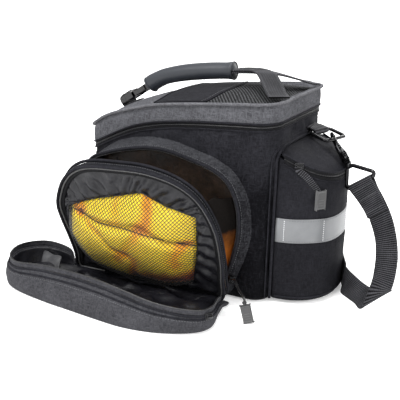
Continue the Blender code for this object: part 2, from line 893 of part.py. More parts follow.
def build_panel():
    rings = [
        panel_ring(-0.0015, 0.0),
        panel_ring(0.0, 0.0015),
        panel_ring(0.0, PANEL_DEPTH, PANEL_FLARE),
        panel_ring(-PANEL_WALL, PANEL_DEPTH, PANEL_FLARE),
        panel_ring(-PANEL_WALL - 0.0005, PANEL_WALL),
    ]
    skin("pocket_panel", rings, FABRIC)
    out = PIPING + 3 * GAP
    back = panel_ring(out, 0.0015)
    upright = back[:len(back) - PANEL_BOTTOM_ROWS]
    line = smooth_loop(upright, 2, closed=False)
    tube("panel_piping", line, PIPING, LINING)


def window_point(u, v):
    """A point of the net's window in panel shares, blended from its four sides."""
    top = Vector((WINDOW_TOP.at("along", u), WINDOW_TOP.at("up", u)))
    bottom = Vector((WINDOW_BOTTOM.at("along", u), WINDOW_BOTTOM.at("up", u)))
    front = Vector((WINDOW_FRONT.at("along", v), WINDOW_FRONT.at("up", v)))
    rear = Vector((WINDOW_REAR.at("along", v), WINDOW_REAR.at("up", v)))
    corners = [
        Vector((WINDOW_BOTTOM.at("along", 0), WINDOW_BOTTOM.at("up", 0))) * (1 - u) * (1 - v),
        Vector((WINDOW_BOTTOM.at("along", 1), WINDOW_BOTTOM.at("up", 1))) * u * (1 - v),
        Vector((WINDOW_TOP.at("along", 0), WINDOW_TOP.at("up", 0))) * (1 - u) * v,
        Vector((WINDOW_TOP.at("along", 1), WINDOW_TOP.at("up", 1))) * u * v,
    ]
    point = bottom * (1 - v) + top * v + front * (1 - u) + rear * u
    return point - (corners[0] + corners[1] + corners[2] + corners[3])


def bulge(u, v):
    """How far the packed cover pushes the net out, nought at the window's edge."""
    low = 1 - (2 * v - 0.9) ** 2 / 1.21
    return NET_BULGE * max(0.0, 1 - (2 * u - 1) ** 4) * max(0.0, low) ** 0.75


def net_point(u, v, lift=0.0):
    share = window_point(u, v)
    depth = PANEL_DEPTH + bulge(u, v) + lift
    return on_panel(share.x * PANEL_LENGTH / 2, share.y * PANEL_HEIGHT, depth)


def build_net():
    """Net with its cells cut through: each cell of the bulged sheet keeps a rim of bars."""
    shape = bmesh.new()
    rows = []
    for high in range(NET_CELLS_HIGH + 1):
        v = high / NET_CELLS_HIGH
        rows.append([shape.verts.new(net_point(long / NET_CELLS_LONG, v))
                     for long in range(NET_CELLS_LONG + 1)])
    for low, high in zip(rows, rows[1:]):
        for here in range(NET_CELLS_LONG):
            corners = (low[here], low[here + 1], high[here + 1], high[here])
            middle = sum((c.co for c in corners), Vector()) / 4
            inner = [shape.verts.new(c.co.lerp(middle, NET_BAR)) for c in corners]
            for edge in range(4):
                after = (edge + 1) % 4
                shape.faces.new((corners[edge], corners[after], inner[after], inner[edge]))
    mesh = bpy.data.meshes.new("pocket_net")
    shape.to_mesh(mesh)
    shape.free()
    item = place_mesh("pocket_net", mesh, LINING)
    wall = item.modifiers.new("Wall", "SOLIDIFY")
    wall.thickness = NET_THICK
    wall.offset = 0.0


def window_loop(shrink, count=28):
    """Window shares round its edge, drawn in towards the middle."""
    per_side = count // 4
    edge = []
    for step in range(per_side):
        edge.append((step / per_side, 0.0))
    for step in range(per_side):
        edge.append((1.0, step / per_side))
    for step in range(per_side):
        edge.append((1 - step / per_side, 1.0))
    for step in range(per_side):
        edge.append((0.0, 1 - step / per_side))
    return [(0.5 + (u - 0.5) * shrink, 0.5 + (v - 0.5) * shrink) for u, v in edge]


def build_rain_cover():
    """Packed cover behind the net: flat at the back, bulged at the front."""
    rings = []
    back_depth = PANEL_WALL + GAP
    for shrink, front in ((0.60, False), (0.90, False), (0.95, True), (0.80, True),
                          (0.60, True), (0.38, True), (0.16, True)):
        ring = []
        for u, v in window_loop(shrink):
            if front:
                ring.append(net_point(u, v, -COVER_CLEAR))
            else:
                share = window_point(u, v)
                ring.append(on_panel(share.x * PANEL_LENGTH / 2, share.y * PANEL_HEIGHT,
                                     back_depth))
        rings.append(ring)
    skin("rain_cover", rings, YELLOW)


def build_hem():
    """Ruffled cloth between the panel's rim and the net's window."""
    edge = window_loop(1.0, 28 * 2)
    rim = subdivide(panel_loop(-PANEL_WALL - HEM_THICK - 0.0012, 0.6 * PANEL_FLARE), 4)
    inner = []
    for u, v in edge:
        share = window_point(u, v)
        inner.append(Vector((share.x * PANEL_LENGTH / 2, share.y * PANEL_HEIGHT)))
    middle = Vector((0.0, 0.42 * PANEL_HEIGHT))
    grid = [[], [], []]
    for place, point in enumerate(inner):
        away = (point - middle).normalized()
        best = max(rim, key=lambda q: (q - middle).normalized().dot(away))
        wave = math.cos(2 * math.pi * HEM_FOLDS * place / len(inner))
        clear = point + (point - middle).normalized() * (NET_THICK + GAP)
        half_way = clear.lerp(best, 0.5)
        grid[0].append(on_panel(clear.x, clear.y, PANEL_DEPTH))
        grid[1].append(on_panel(half_way.x, half_way.y, PANEL_DEPTH - 0.002 + HEM_RUFFLE * wave))
        grid[2].append(on_panel(best.x, best.y, PANEL_DEPTH - 0.0035))
    for row in grid:
        row.append(row[0].copy())
    sheet_loop("pocket_hem", grid, HEM_THICK, LINING)


def sheet_loop(name, grid, thickness, look):
    """A ring of cloth: like a sheet, but its ends meet."""
    shape = bmesh.new()
    rows = [[shape.verts.new(point) for point in row[:-1]] for row in grid]
    for low, high in zip(rows, rows[1:]):
        count = len(low)
        for here in range(count):
            after = (here + 1) % count
            shape.faces.new((low[here], low[after], high[after], high[here]))
    mesh = bpy.data.meshes.new(name)
    shape.to_mesh(mesh)
    shape.free()
    item = place_mesh(name, mesh, look)
    wall = item.modifiers.new("Wall", "SOLIDIFY")
    wall.thickness = thickness
    wall.offset = 0.0


# Folded-down flap

FLAP_Y = HINGE_Y - 0.004


def flap_columns(along, reach, up=None):
    points = []
    lift = FLAP_PLAN.column(up) if up else [0.0] * len(FLAP_PLAN.rows)
    for a, r, u in zip(FLAP_PLAN.column(along), FLAP_PLAN.column(reach), lift):
        points.append(Vector((PANEL_X + a * FLAP_LENGTH / 2, FLAP_Y - r * FLAP_REACH, u * FLAP_RIM)))
    return points


def flap_ring(share, inset, level=None):
    """The flap's outline part of the way from the floor to the rim, drawn in by an inset."""
    floor = flap_columns("along", "reach")
    rim = flap_columns("rim_along", "rim_reach", "rim_up")
    mixed = [low.lerp(high, share) for low, high in zip(floor, rim)]
    plan = [Vector((p.x, p.y)) for p in mixed]
    plan.reverse()
    moved = grow(plan, [-inset] * len(plan))
    moved.reverse()
    ring = []
    for p, q in zip(moved, mixed):
        ring.append(Vector((p.x, p.y, q.z if level is None else level)))
    return ring


def build_flap():
    swell = -0.003
    rings = [
        flap_ring(0.0, FLAP_EDGE, 0.0),
        flap_ring(0.12, -0.0005),
        flap_ring(0.5, swell),
        flap_ring(1.0, 0.0),
        flap_ring(1.0, FLAP_WALL),
        flap_ring(0.5, swell + FLAP_WALL),
        flap_ring(0.12, FLAP_WALL + 0.0005, FLAP_WALL + 0.001),
        flap_ring(0.0, FLAP_EDGE + FLAP_WALL, FLAP_WALL),
    ]
    skin("outer_flap", rings, FABRIC)
    rim = flap_ring(1.0, 0.5 * FLAP_WALL)[1:FLAP_RIM_ROWS - 1]
    raised = [p + Vector((0, 0, GAP + 0.5 * FLAP_TAPE + 0.0009)) for p in rim]
    upright = [Vector((0, 0, 1))] * len(raised)
    ribbon("flap_zipper", raised, upright, FLAP_TAPE, TAPE_THICK, LINING)


# Closed pocket on the hidden right side

def right_ring(share_long, share_high, depth, inset):
    loop = frame_loop(-inset)
    ring = []
    for p in loop:
        x = p.x * share_long + FRAME_X
        ring.append(Vector((x, depth if depth else side_wall(x) + 4 * GAP, p.y * share_high + FRAME_Z)))
    return ring


def build_right_pocket():
    wall = RIGHT_WALL
    face = SIDE + RIGHT_DEPTH
    rings = [
        right_ring(0.80, 0.72, face, 0.0),
        right_ring(0.94, 0.86, face - 0.005, 0.0),
        right_ring(0.985, 0.95, SIDE + 0.6 * RIGHT_DEPTH, 0.0),
        right_ring(1.0, 1.0, SIDE + FRAME_DEPTH, 0.0),
        right_ring(1.0, 1.0, 0.0, 0.0),
        right_ring(1.0, 1.0, 0.0, wall),
        right_ring(1.0, 1.0, SIDE + FRAME_DEPTH, wall),
        right_ring(0.985, 0.95, SIDE + 0.6 * RIGHT_DEPTH - wall, wall),
        right_ring(0.93, 0.85, face - 0.005 - wall, wall),
    ]
    skin("right_pocket", rings, FABRIC)
    share = 0.9925
    ring = right_ring(share, 0.978, SIDE + 0.35 * RIGHT_DEPTH, -(ZIP_COIL + GAP + 0.0004))
    upright = ring[1:len(ring) - FRAME_BOTTOM_ROWS - 1]
    tube("right_pocket_zipper", upright, ZIP_COIL, LINING)


# Handle

def build_grip():
    rings = []
    rows = GRIP_LINE.rows
    centres = [Vector((row[0] * HALF, 0.0, row[1] * BAG_HEIGHT)) for row in rows]
    for here, row in enumerate(rows):
        before = centres[max(here - 1, 0)]
        after = centres[min(here + 1, len(rows) - 1)]
        ahead = (after - before).normalized()
        side = Vector((0, 1, 0))
        up = ahead.cross(side)
        radius = GRIP_RADIUS * row[2]
        ring = []
        for step in range(12):
            angle = 2 * math.pi * step / 12
            ring.append(centres[here] + (side * math.cos(angle) + up * math.sin(angle)) * radius)
        rings.append(ring)
    skin("handle_grip", rings, FOAM)


def leg_line(sign):
    """Middle and width direction of one rear leg: sign -1 is the left one, on top."""
    lift = GAP + LEG_THICK / 2 + 0.0002
    centres = []
    widths = []
    for along, across, up, turn in LEG_LINE.rows:
        rest = max(0.0, min(1.0, 1.5 - across / 0.35))
        level = up * BAG_HEIGHT - sign * lift * rest
        centres.append(Vector((along * HALF, sign * across * SIDE, level)))
        widths.append(Vector((-sign * 0.76 * turn, 1.0 - 0.35 * turn, 0.0)).normalized())
    return centres, widths


def build_legs():
    for name, sign in (("handle_leg_left", -1), ("handle_leg_right", 1)):
        centres, widths = leg_line(sign)
        centres = smooth_loop(centres, 2, closed=False)
        widths = smooth_loop(widths, 2, closed=False)
        ribbon(name, centres, widths, LEG_WIDTH, LEG_THICK, WEBBING)


def buckle_axes():
    """Start of the buckle at the grip and its own axes: along, across and up."""
    start = Vector((GRIP_LINE.rows[0][0] * HALF, 0.0, GRIP_LINE.rows[0][1] * BAG_HEIGHT))
    slope = math.radians(33)
    ahead = Vector((-math.cos(slope), 0.0, -math.sin(slope)))
    across = Vector((0, 1, 0))
    up = Vector((-math.sin(slope), 0.0, math.cos(slope)))
    return start + ahead * (GAP + 0.0006), (ahead, across, up)


def build_buckle():
    start, axes = buckle_axes()
    ahead, across, up = axes
    middle = start + ahead * BUCKLE_LENGTH / 2
    item = block("handle_buckle", middle, axes, (BUCKLE_LENGTH, BUCKLE_WIDTH, BUCKLE_THICK),
                 PLASTIC, bevel=0.0012)
    slot = block("buckle_slot_cutter", start + ahead * 0.36 * BUCKLE_LENGTH, axes,
                 (BUCKLE_SLOT, BUCKLE_WIDTH - 0.008, 3 * BUCKLE_THICK), PLASTIC)
    boolean(item, slot, "DIFFERENCE")
    low = block("buckle_loop_cutter", start + ahead * 0.80 * BUCKLE_LENGTH, axes,
                (0.006, LOOP_WIDTH + 0.0012, 3 * BUCKLE_THICK), PLASTIC)
    boolean(item, low, "DIFFERENCE")


def build_front_loop():
    """Webbing that rises from the lid, passes through the buckle's rear slot and returns."""
    start, axes = buckle_axes()
    ahead, across, up = axes
    slot = start + ahead * 0.80 * BUCKLE_LENGTH
    under = -0.5 * BUCKLE_THICK - 0.0016
    over = 0.5 * BUCKLE_THICK + 0.0016
    foot_x = slot.x + 0.004
    foot = Vector((foot_x, 0.0, lid_top(foot_x, 0.0) + GAP + 0.5 * LEG_THICK + 0.0004))
    heel = foot + Vector((0.012, 0.0, 0.0))
    heel.z = lid_top(heel.x, 0.0) + GAP + 0.5 * LEG_THICK + 0.0004
    toe_x = slot.x - 0.003
    toe = Vector((toe_x, 0.0, lid_top(toe_x, 0.0) + GAP + 0.5 * LEG_THICK + 0.0006))
    path = [
        heel,
        foot,
        slot + up * under - ahead * 0.0004,
        slot + up * over - ahead * 0.0002,
        start + ahead * (BUCKLE_LENGTH + 0.0022) + up * over,
        start + ahead * (BUCKLE_LENGTH + 0.0026) + up * under,
        toe,
    ]
    widths = [across] * len(path)
    ribbon("handle_front_loop", path, widths, LOOP_WIDTH, 0.0012, WEBBING)


# Rear hardware and shoulder strap

TAB_Y = 0.037
BAR_Z = REAR_ARCH + 0.0048
BAR_X = HALF + TAB_REACH + 0.0015
BAR_TURN = math.radians(16)
RING_FALL = 0.22


def ring_axes():
    """The ring's axes: along its webbing bar, from the bar outward, and its normal."""
    bar = Vector((math.sin(BAR_TURN), math.cos(BAR_TURN), 0.0))
    out = Vector((math.cos(BAR_TURN), -math.sin(BAR_TURN), -RING_FALL)).normalized()
    return bar, out, out.cross(bar).normalized()


def rounded_rectangle(origin, first, second, width, length, radius, steps=2):
    """Closed path of a rounded rectangle that starts at the middle of one side."""
    path = []
    corners = (
        (width / 2 - radius, radius, -90),
        (width / 2 - radius, length - radius, 0),
        (-width / 2 + radius, length - radius, 90),
        (-width / 2 + radius, radius, 180),
    )
    for across, along, start in corners:
        for step in range(steps + 1):
            angle = math.radians(start + 90 * step / steps)
            place = (across + radius * math.cos(angle), along + radius * math.sin(angle))
            path.append(origin + first * place[0] + second * place[1])
    return path


def ring_origin():
    return Vector((BAR_X, TAB_Y, BAR_Z))


def build_tab():
    """Webbing loop sewn to the rear wall, round the ring's bar."""
    clear = RING_WIRE + GAP + STRAP_THICK / 2 + 0.0003
    bar, out, normal = ring_axes()
    middle = ring_origin()
    flat_out = Vector((out.x, out.y, 0.0)).normalized()
    wall = HALF + 4 * GAP
    up = Vector((0, 0, 1))
    path = [Vector((wall, TAB_Y, BAR_Z + clear + 0.0026)),
            Vector((wall + 0.0035, TAB_Y, BAR_Z + clear + 0.0026)),
            middle - flat_out * 0.004 + up * (clear + 0.0008)]
    for angle in (90, 45, 0, -45, -90):
        turn = math.radians(angle)
        path.append(middle + (flat_out * math.cos(turn) + up * math.sin(turn)) * clear)
    path.append(middle - flat_out * 0.0062 - up * (clear - 0.0006))
    path.append(Vector((wall + 0.0035, TAB_Y, BAR_Z + 0.0008)))
    path.append(Vector((wall, TAB_Y, BAR_Z + 0.0008)))
    straight = Vector((0, 1, 0))
    widths = [straight, straight] + [bar] * (len(path) - 4) + [straight, straight]
    ribbon("rear_tab", path, widths, TAB_WIDTH, STRAP_THICK, WEBBING)


def build_ring():
    bar, out, normal = ring_axes()
    path = rounded_rectangle(ring_origin(), bar, out, RING_WIDTH, RING_LENGTH, 0.004)
    tube("rear_ring", path, RING_WIRE, DARK_METAL, cyclic=True)


SWIVEL = Vector((HALF + REAR_DEPTH + 0.0066, 0.002, 0.1655))
HOOK_TILT = math.radians(60)


def hook_frame():
    """Where the hook's shank starts and its axes: towards the nose, sideways and normal."""
    bar, out, normal = ring_axes()
    hold = ring_origin() + out * RING_LENGTH - bar * 0.004
    ahead = (hold - SWIVEL).normalized()
    level = ahead.cross(Vector((0, 0, 1))).normalized()
    rise = level.cross(ahead)
    sideways = level * math.cos(HOOK_TILT) - rise * math.sin(HOOK_TILT)
    base = hold - ahead * (HOOK_LENGTH - HOOK_WIRE - GAP - RING_WIRE - 0.0042)
    return base, ahead, sideways, ahead.cross(sideways)


def hook_point(along, aside, lift=0.0):
    base, ahead, sideways, normal = hook_frame()
    return base + ahead * along + sideways * aside + normal * lift


def build_hook():
    b = HOOK_BREADTH
    length = HOOK_LENGTH
    path = [
        (0.006, 0.35 * b), (0.011, 0.8 * b), (0.018, 0.98 * b), (0.028, 0.95 * b),
        (length - 0.005, 0.62 * b), (length - 0.0015, 0.0), (length - 0.003, -0.65 * b),
        (length - 0.008, -1.0 * b), (length - 0.0105, -1.04 * b),
    ]
    points = smooth_loop([hook_point(a, s) for a, s in path], 2, closed=False)
    item = tube_mesh("snap_hook", points, HOOK_WIRE, DARK_METAL)
    base, ahead, sideways, normal = hook_frame()
    yoke = block("hook_yoke", hook_point(0.0055, 0.0), (ahead, sideways, normal),
                 (YOKE_LENGTH, 2.1 * b, 2.1 * HOOK_WIRE), DARK_METAL, bevel=0.001)
    boolean(item, yoke, "UNION")


def tube_mesh(name, points, radius, look, sides=8, closed=False):
    """A round wire as a mesh, its sections carried along the path without twist."""
    rings = []
    count = len(points)
    normal = None
    for here in range(count):
        if closed:
            ahead = (points[(here + 1) % count] - points[here - 1]).normalized()
        else:
            ahead = (points[min(here + 1, count - 1)] - points[max(here - 1, 0)]).normalized()
        if normal is None:
            guide = Vector((0, 0, 1)) if abs(ahead.z) < 0.9 else Vector((1, 0, 0))
            normal = guide - ahead * guide.dot(ahead)
        normal = (normal - ahead * normal.dot(ahead)).normalized()
        other = ahead.cross(normal)
        ring = []
        for step in range(sides):
            angle = 2 * math.pi * step / sides
            ring.append(points[here] + (normal * math.cos(angle) + other * math.sin(angle)) * radius)
        rings.append(ring)
    return skin(name, rings, look, closed_loop=closed)


GATE_START = 0.0115


def build_gate():
    """Spring gate that closes the hook's mouth; its object's origin is the pivot."""
    b = HOOK_BREADTH
    pivot = hook_point(GATE_START, -0.90 * b)
    tip = hook_point(HOOK_LENGTH - 0.0105 - GAP - 0.0011, -1.04 * b)
    line = [pivot + (tip - pivot) * share for share in (-0.06, 0.0, 0.5, 1.0)]
    item = tube_mesh("snap_hook_gate", line, GATE_WIRE, DARK_METAL)
    for vert in item.data.vertices:
        vert.co -= pivot
    item.location = pivot


def build_eye():
    """Swivel post and the loop that holds the strap."""
    base, ahead, sideways, normal = hook_frame()
    post_top = base + ahead * (0.0015 - GAP)
    post_low = base - ahead * 0.0055
    item = tube_mesh("swivel_eye", [post_low, post_top], 0.0029, DARK_METAL, sides=10)
    centre, wide, down = eye_axes()
    reach = STRAP_WIDTH / 2 + EYE_WIRE + 0.0022
    corners = [
        post_low - wide * 0.0045,
        centre - wide * reach - down * 0.005,
        centre - wide * (reach - 0.002),
        centre + wide * (reach - 0.002),
        centre + wide * reach - down * 0.005,
        post_low + wide * 0.0045,
    ]
    loop = tube_mesh("eye_loop", corners, EYE_WIRE, DARK_METAL, closed=True)
    boolean(item, loop, "UNION")


def strap_row(row):
    edge = Vector((row[1] * BAG_LENGTH, row[2] * BAG_WIDTH, row[3] * BAG_HEIGHT))
    wide = Vector(row[4:7]).normalized()
    return edge + wide * STRAP_WIDTH / 2, wide


def eye_axes():
    """Middle of the eye's bar, the direction along it and the direction of the strap."""
    first, wide = strap_row(STRAP_LINE.rows[0])
    second = strap_row(STRAP_LINE.rows[1])[0]
    down = (second - first).normalized()
    down = (down - wide * down.dot(wide)).normalized()
    return first - down * 0.003, wide, down


def build_strap():
    """Shoulder strap: doubled back round the eye's bar, then over the floor to the clasp."""
    centre, wide, down = eye_axes()
    normal = down.cross(wide).normalized()
    turn = EYE_WIRE + GAP + STRAP_THICK / 2 + 0.0002
    apart = (STRAP_THICK + GAP) / 2 + 0.0001
    rows = [strap_row(row) for row in STRAP_LINE.rows]
    lead = smooth_loop([row[0] for row in rows], 3, closed=False)
    widths = smooth_loop([row[1] for row in rows], 3, closed=False)
    near = []
    far = []
    for here, point in enumerate(lead):
        ahead = (lead[min(here + 1, len(lead) - 1)] - lead[max(here - 1, 0)]).normalized()
        out = ahead.cross(widths[here]).normalized()
        share = here / STRAP_DOUBLED
        gap = max(apart, turn * (1 - share)) * max(0.0, min(1.0, 2 - share))
        near.append(point - out * gap)
        far.append(point + out * gap)
    path = [far[here] for here in range(STRAP_DOUBLED, 2, -1)]
    path_widths = [widths[here] for here in range(STRAP_DOUBLED, 2, -1)]
    for angle in (70, 110, 150, 180, 210, 250, 290):
        a = math.radians(angle)
        path.append(centre + down * turn * math.cos(a) + normal * turn * math.sin(a))
        path_widths.append(wide)
    path += near[3:]
    path_widths += widths[3:]
    ribbon("shoulder_strap", path, path_widths, STRAP_WIDTH, STRAP_THICK, WEBBING)


# Hidden front hardware

def build_front_hardware():
    """Plain tab, ring and clasp on the front wall, where the photo hides them."""
    last, wide = strap_row(STRAP_LINE.rows[-1])
    y = last.y
    wall = -HALF - GAP - 0.0002
    ring_top = Vector((-HALF - 0.0062, y, 0.128))
    clear = RING_WIRE + GAP + STRAP_THICK / 2 + 0.0003
    path = [Vector((wall - 0.0009, y, ring_top.z + 0.014))]
    for angle in (90, 135, 180, 225, 270, 300):
        a = math.radians(angle)
        path.append(ring_top + Vector((clear * math.cos(a), 0, clear * math.sin(a))))
    ribbon("front_tab", path, [Vector((0, 1, 0))] * len(path), TAB_WIDTH, STRAP_THICK, WEBBING)
    out = Vector((-0.34, 0, -0.94)).normalized()
    bar = Vector((0, 1, 0))
    loop = rounded_rectangle(ring_top, bar, out, RING_WIDTH, RING_LENGTH, 0.004)
    tube("front_ring", loop, RING_WIRE, DARK_METAL, cyclic=True)
    low = ring_top + out * RING_LENGTH
    reach = STRAP_WIDTH / 2 + EYE_WIRE + 0.0022
    top = low + out * (RING_WIRE + GAP + 0.0002)
    end = Vector((last.x, y, last.z + 0.0006 + GAP + EYE_WIRE))
    ahead = (end - top).normalized()
    normal = ahead.cross(bar).normalized()
    middle = (top + end) / 2
    length = (end - top).length
    item = block("front_clasp", middle, (ahead, bar, normal), (length, 2 * reach, CLASP_THICK),
                 PLASTIC, bevel=0.0012)
    slot = block("clasp_slot_cutter", middle + ahead * (0.5 * length - 0.006), (ahead, bar, normal),
                 (CLASP_SLOT, STRAP_WIDTH, 3 * CLASP_THICK), PLASTIC)
    boolean(item, slot, "DIFFERENCE")


# Sliders, pulls and small pieces

def build_slider(name, centre, axes):
    block(name, centre, axes, (SLIDER_LENGTH, SLIDER_WIDTH, SLIDER_THICK), DARK_METAL, bevel=0.001)


def build_rear_pull():
    turn = math.radians(-68)
    edge = rear_point(turn, SLIDER_THICK / 2 + GAP)
    ahead_point = rear_point(turn + 0.15, SLIDER_THICK / 2 + GAP)
    along = Vector((ahead_point.x - edge.x, ahead_point.y - edge.y, 0)).normalized()
    out = Vector((along.y, -along.x, 0))
    up = Vector((0, 0, 1))
    level = zip_height(edge.x) + 0.002
    centre = Vector((edge.x, edge.y, level))
    build_slider("rear_slider", centre, (along, up, out))
    path = []
    for share, drop in ((0.0, 0.0070), (0.35, 0.014), (0.75, 0.026), (1.0, 0.034)):
        place = rear_point(turn + 0.42 * share, PULL_THICK / 2 + 2 * GAP + 0.0006)
        path.append(Vector((place.x, place.y, level - drop)))
    across = [along] * len(path)
    ribbon("rear_pull", path, across, PULL_WIDTH * 0.7, PULL_THICK, WEBBING)
    low = path[-1]
    here = rear_point(turn + 0.47, TIP_THICK / 2 + 2 * GAP)
    after = rear_point(turn + 0.62, TIP_THICK / 2 + 2 * GAP)
    tip_along = Vector((after.x - here.x, after.y - here.y, 0)).normalized()
    tip_out = Vector((tip_along.y, -tip_along.x, 0))
    middle = Vector((here.x, here.y, low.z - TIP_LENGTH / 2 - 4 * GAP))
    block("rear_pull_tip", middle, (tip_along, up, tip_out), (TIP_WIDTH, TIP_LENGTH, TIP_THICK),
          GREY_RUBBER, bevel=0.0012)


def build_panel_pull():
    """Slider where the gap closes, its cord and the grey tip that hangs beside the bag."""
    edge = frame_loop(0.0)[1]
    base = Vector((edge.x + FRAME_X + 0.006, -(FRAME_FACE + 0.0085), edge.y + FRAME_Z + 0.002))
    along = Vector((0.25, 0.0, 0.97)).normalized()
    across = Vector((0.97, 0.0, -0.25))
    out = Vector((0, -1, 0))
    build_slider("panel_slider", base, (along, across, out))
    tip = base + Vector((0.0395, -0.0375, -0.0215))
    tip.z = 0.0118
    down = Vector((0.30, -0.05, -0.95)).normalized()
    top = tip - down * (TIP_LENGTH / 2 + 3 * GAP)
    path = [
        base + Vector((0.0045, -0.0022, 0.0015)) + Vector((0, -0.0025, 0)),
        base + Vector((0.009, -0.010, 0.0035)),
        top.lerp(base, 0.5) + Vector((0.001, -0.003, 0.005)),
        top - down * 0.007,
        top,
    ]
    tube("panel_pull", smooth_loop(path, 2, closed=False), CORD_RADIUS, LINING)
    face = Vector((0.35, -0.93, 0.0))
    face = (face - down * face.dot(down)).normalized()
    side = down.cross(face)
    block("panel_pull_tip", tip, (side, down, face), (TIP_WIDTH, TIP_LENGTH, TIP_THICK),
          GREY_RUBBER, bevel=0.0012)


def build_flap_small():
    rim = flap_ring(1.0, 0.5 * FLAP_WALL)
    corner = rim[3].lerp(rim[4], 0.6)
    outward = Vector((0.9, -0.43, 0)).normalized()
    along = Vector((-outward.y, outward.x, 0))
    centre = corner + outward * (FLAP_WALL / 2 + SLIDER_THICK / 2 + GAP + 0.0024)
    centre.z -= 0.001
    build_slider("flap_slider", centre, (along, Vector((0, 0, 1)), outward))
    inner = flap_ring(0.8, FLAP_WALL + 0.0045)
    grid = []
    for share in (0.0, 0.5, 1.0):
        row = []
        for low, high, part in ((14, 15, 0.1), (14, 15, 0.6), (15, 16, 0.1), (15, 16, 0.6)):
            point = inner[low].lerp(inner[high], part)
            row.append(Vector((point.x + 0.003 + 0.010 * share, point.y - 0.012 * share,
                               point.z - 0.002 - 0.012 * share)))
        grid.append(row)
    sheet("flap_tab", grid, 0.0010, GREY_RUBBER, side=0.0)


def build_gussets():
    """Folded lining at the two ends of the gap between the frame and the panel."""
    sides = (("gusset_rear", (0.10, 0.22, 0.36, 0.52, 0.66), 1),
             ("gusset_front", (0.10, 0.28, 0.46, 0.62), -1))
    for name, heights, sign in sides:
        grid = []
        for up in heights:
            frame_x = frame_edge(up, sign) - sign * (FRAME_WALL + PIPING + 0.001)
            panel_x = panel_edge(up, sign) - sign * 0.003
            start = Vector((FRAME_X + frame_x, -(FRAME_FACE - 0.0055), FRAME_Z + up * FRAME_HEIGHT))
            reach = start.x - PANEL_X - sign * 0.002
            panel_x = min(panel_x, reach) if sign > 0 else max(panel_x, reach)
            end = on_panel(panel_x, up * PANEL_HEIGHT, -GAP - 0.0012)
            fold = start.lerp(end, 0.45) - Vector((sign * GUSSET_FOLD * up * 1.5, 0, 0))
            grid.append([start, start.lerp(fold, 0.6), fold, fold.lerp(end, 0.5), end])
        sheet(name, grid, GUSSET_THICK, BROWN, side=0.0)


def edge_at(table, half_length, up, sign):
    """Where an outline's rear or front side stands at a share of its height."""
    best = None
    rows = table.rows
    for here in range(len(rows) - 1):
        low, high = rows[here], rows[here + 1]
        if (low[0] + high[0]) * sign <= 0:
            continue
        bottom, top = sorted((low[1], high[1]))
        if bottom <= up <= top and top > bottom:
            share = (up - low[1]) / (high[1] - low[1])
            best = (low[0] + share * (high[0] - low[0])) * half_length
    return best


def frame_edge(up, sign):
    return edge_at(FRAME_OUTLINE, FRAME_LENGTH / 2, up, sign)


def panel_edge(up, sign):
    return edge_at(PANEL_OUTLINE, PANEL_LENGTH / 2, up, sign)


def build_all():
    remove_scene_objects()
    build_main_body()
    build_lid()
    build_lid_zipper()
    build_lid_piping()
    build_lid_patches()
    build_rear_pocket()
    build_rear_lid()
    build_rear_zipper()
    build_rear_piping()
    build_band()
    build_pocket_frame()
    build_panel()
    build_net()
    build_rain_cover()
    build_hem()
    build_flap()
    build_right_pocket()
    build_grip()
    build_legs()
    build_buckle()
    build_front_loop()
    build_tab()
    build_ring()
    build_hook()
    build_gate()
    build_eye()
    build_strap()
    build_front_hardware()
    build_rear_pull()
    build_panel_pull()
    build_flap_small()
    build_gussets()


build_all()
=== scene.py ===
"""Looks of the bicycle trunk bag: camera, light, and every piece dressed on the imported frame.

The rear of the bag is at +X, the open pocket at -Y and the floor at z = 0, in metres.
"""
import math

import bmesh
import bpy
import numpy as np
from mathutils import Matrix, Vector, noise
from mathutils.bvhtree import BVHTree


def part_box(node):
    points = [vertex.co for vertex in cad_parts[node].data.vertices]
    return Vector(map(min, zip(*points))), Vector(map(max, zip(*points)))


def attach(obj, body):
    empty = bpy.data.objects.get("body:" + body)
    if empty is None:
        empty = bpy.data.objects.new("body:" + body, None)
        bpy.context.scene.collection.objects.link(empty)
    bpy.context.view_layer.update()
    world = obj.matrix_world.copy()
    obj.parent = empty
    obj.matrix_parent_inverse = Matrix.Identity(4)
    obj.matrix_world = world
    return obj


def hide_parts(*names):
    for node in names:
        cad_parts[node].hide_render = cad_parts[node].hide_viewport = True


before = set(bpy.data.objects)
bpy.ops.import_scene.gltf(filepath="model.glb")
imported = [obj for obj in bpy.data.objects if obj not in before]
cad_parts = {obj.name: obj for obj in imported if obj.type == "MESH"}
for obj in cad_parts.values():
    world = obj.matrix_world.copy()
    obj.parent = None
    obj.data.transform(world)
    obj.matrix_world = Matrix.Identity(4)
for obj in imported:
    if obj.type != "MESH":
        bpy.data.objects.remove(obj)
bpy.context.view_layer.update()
MM = 0.001
UP = Vector((0, 0, 1))
ACROSS = Vector((0, 1, 0))
ALONG = Vector((1, 0, 0))

# Sizes of the part that the visible pieces follow
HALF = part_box("main_body")[1].x
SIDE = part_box("main_body")[1].y
BAG_HEIGHT = 0.250
REAR_CORNER = 0.024
FRONT_CORNER = 0.014
BASE_ROUND = 0.010
LID_OVERHANG = 0.002
LID_ROUND = 0.004
LID_DOME = 0.006
PIPING = 0.0019
REAR_DEPTH = 0.062
REAR_WIDTH = 0.133
REAR_ZIP_HIGH = 0.1865
REAR_ZIP_LOW = 0.158
REAR_ARCH = 0.1925
REAR_POWER = 2.3
DOME_POWER = 1.5
ZIP_COIL = 0.0018
BAND_BOTTOM = 0.0795
BAND_HEIGHT = 0.030
FRAME_LENGTH = 0.224
FRAME_HEIGHT = 0.167
FRAME_DEPTH = 0.011
FRAME_SPREAD = 0.010
FRAME_WALL = 0.0032
FRAME_X = -0.010
FRAME_Z = 0.012
PANEL_LENGTH = 0.232
PANEL_HEIGHT = 0.172
PANEL_DEPTH = 0.012
PANEL_FLARE = 0.004
PANEL_WALL = 0.0022
PANEL_X = -0.026
PANEL_LEAN = math.radians(20)
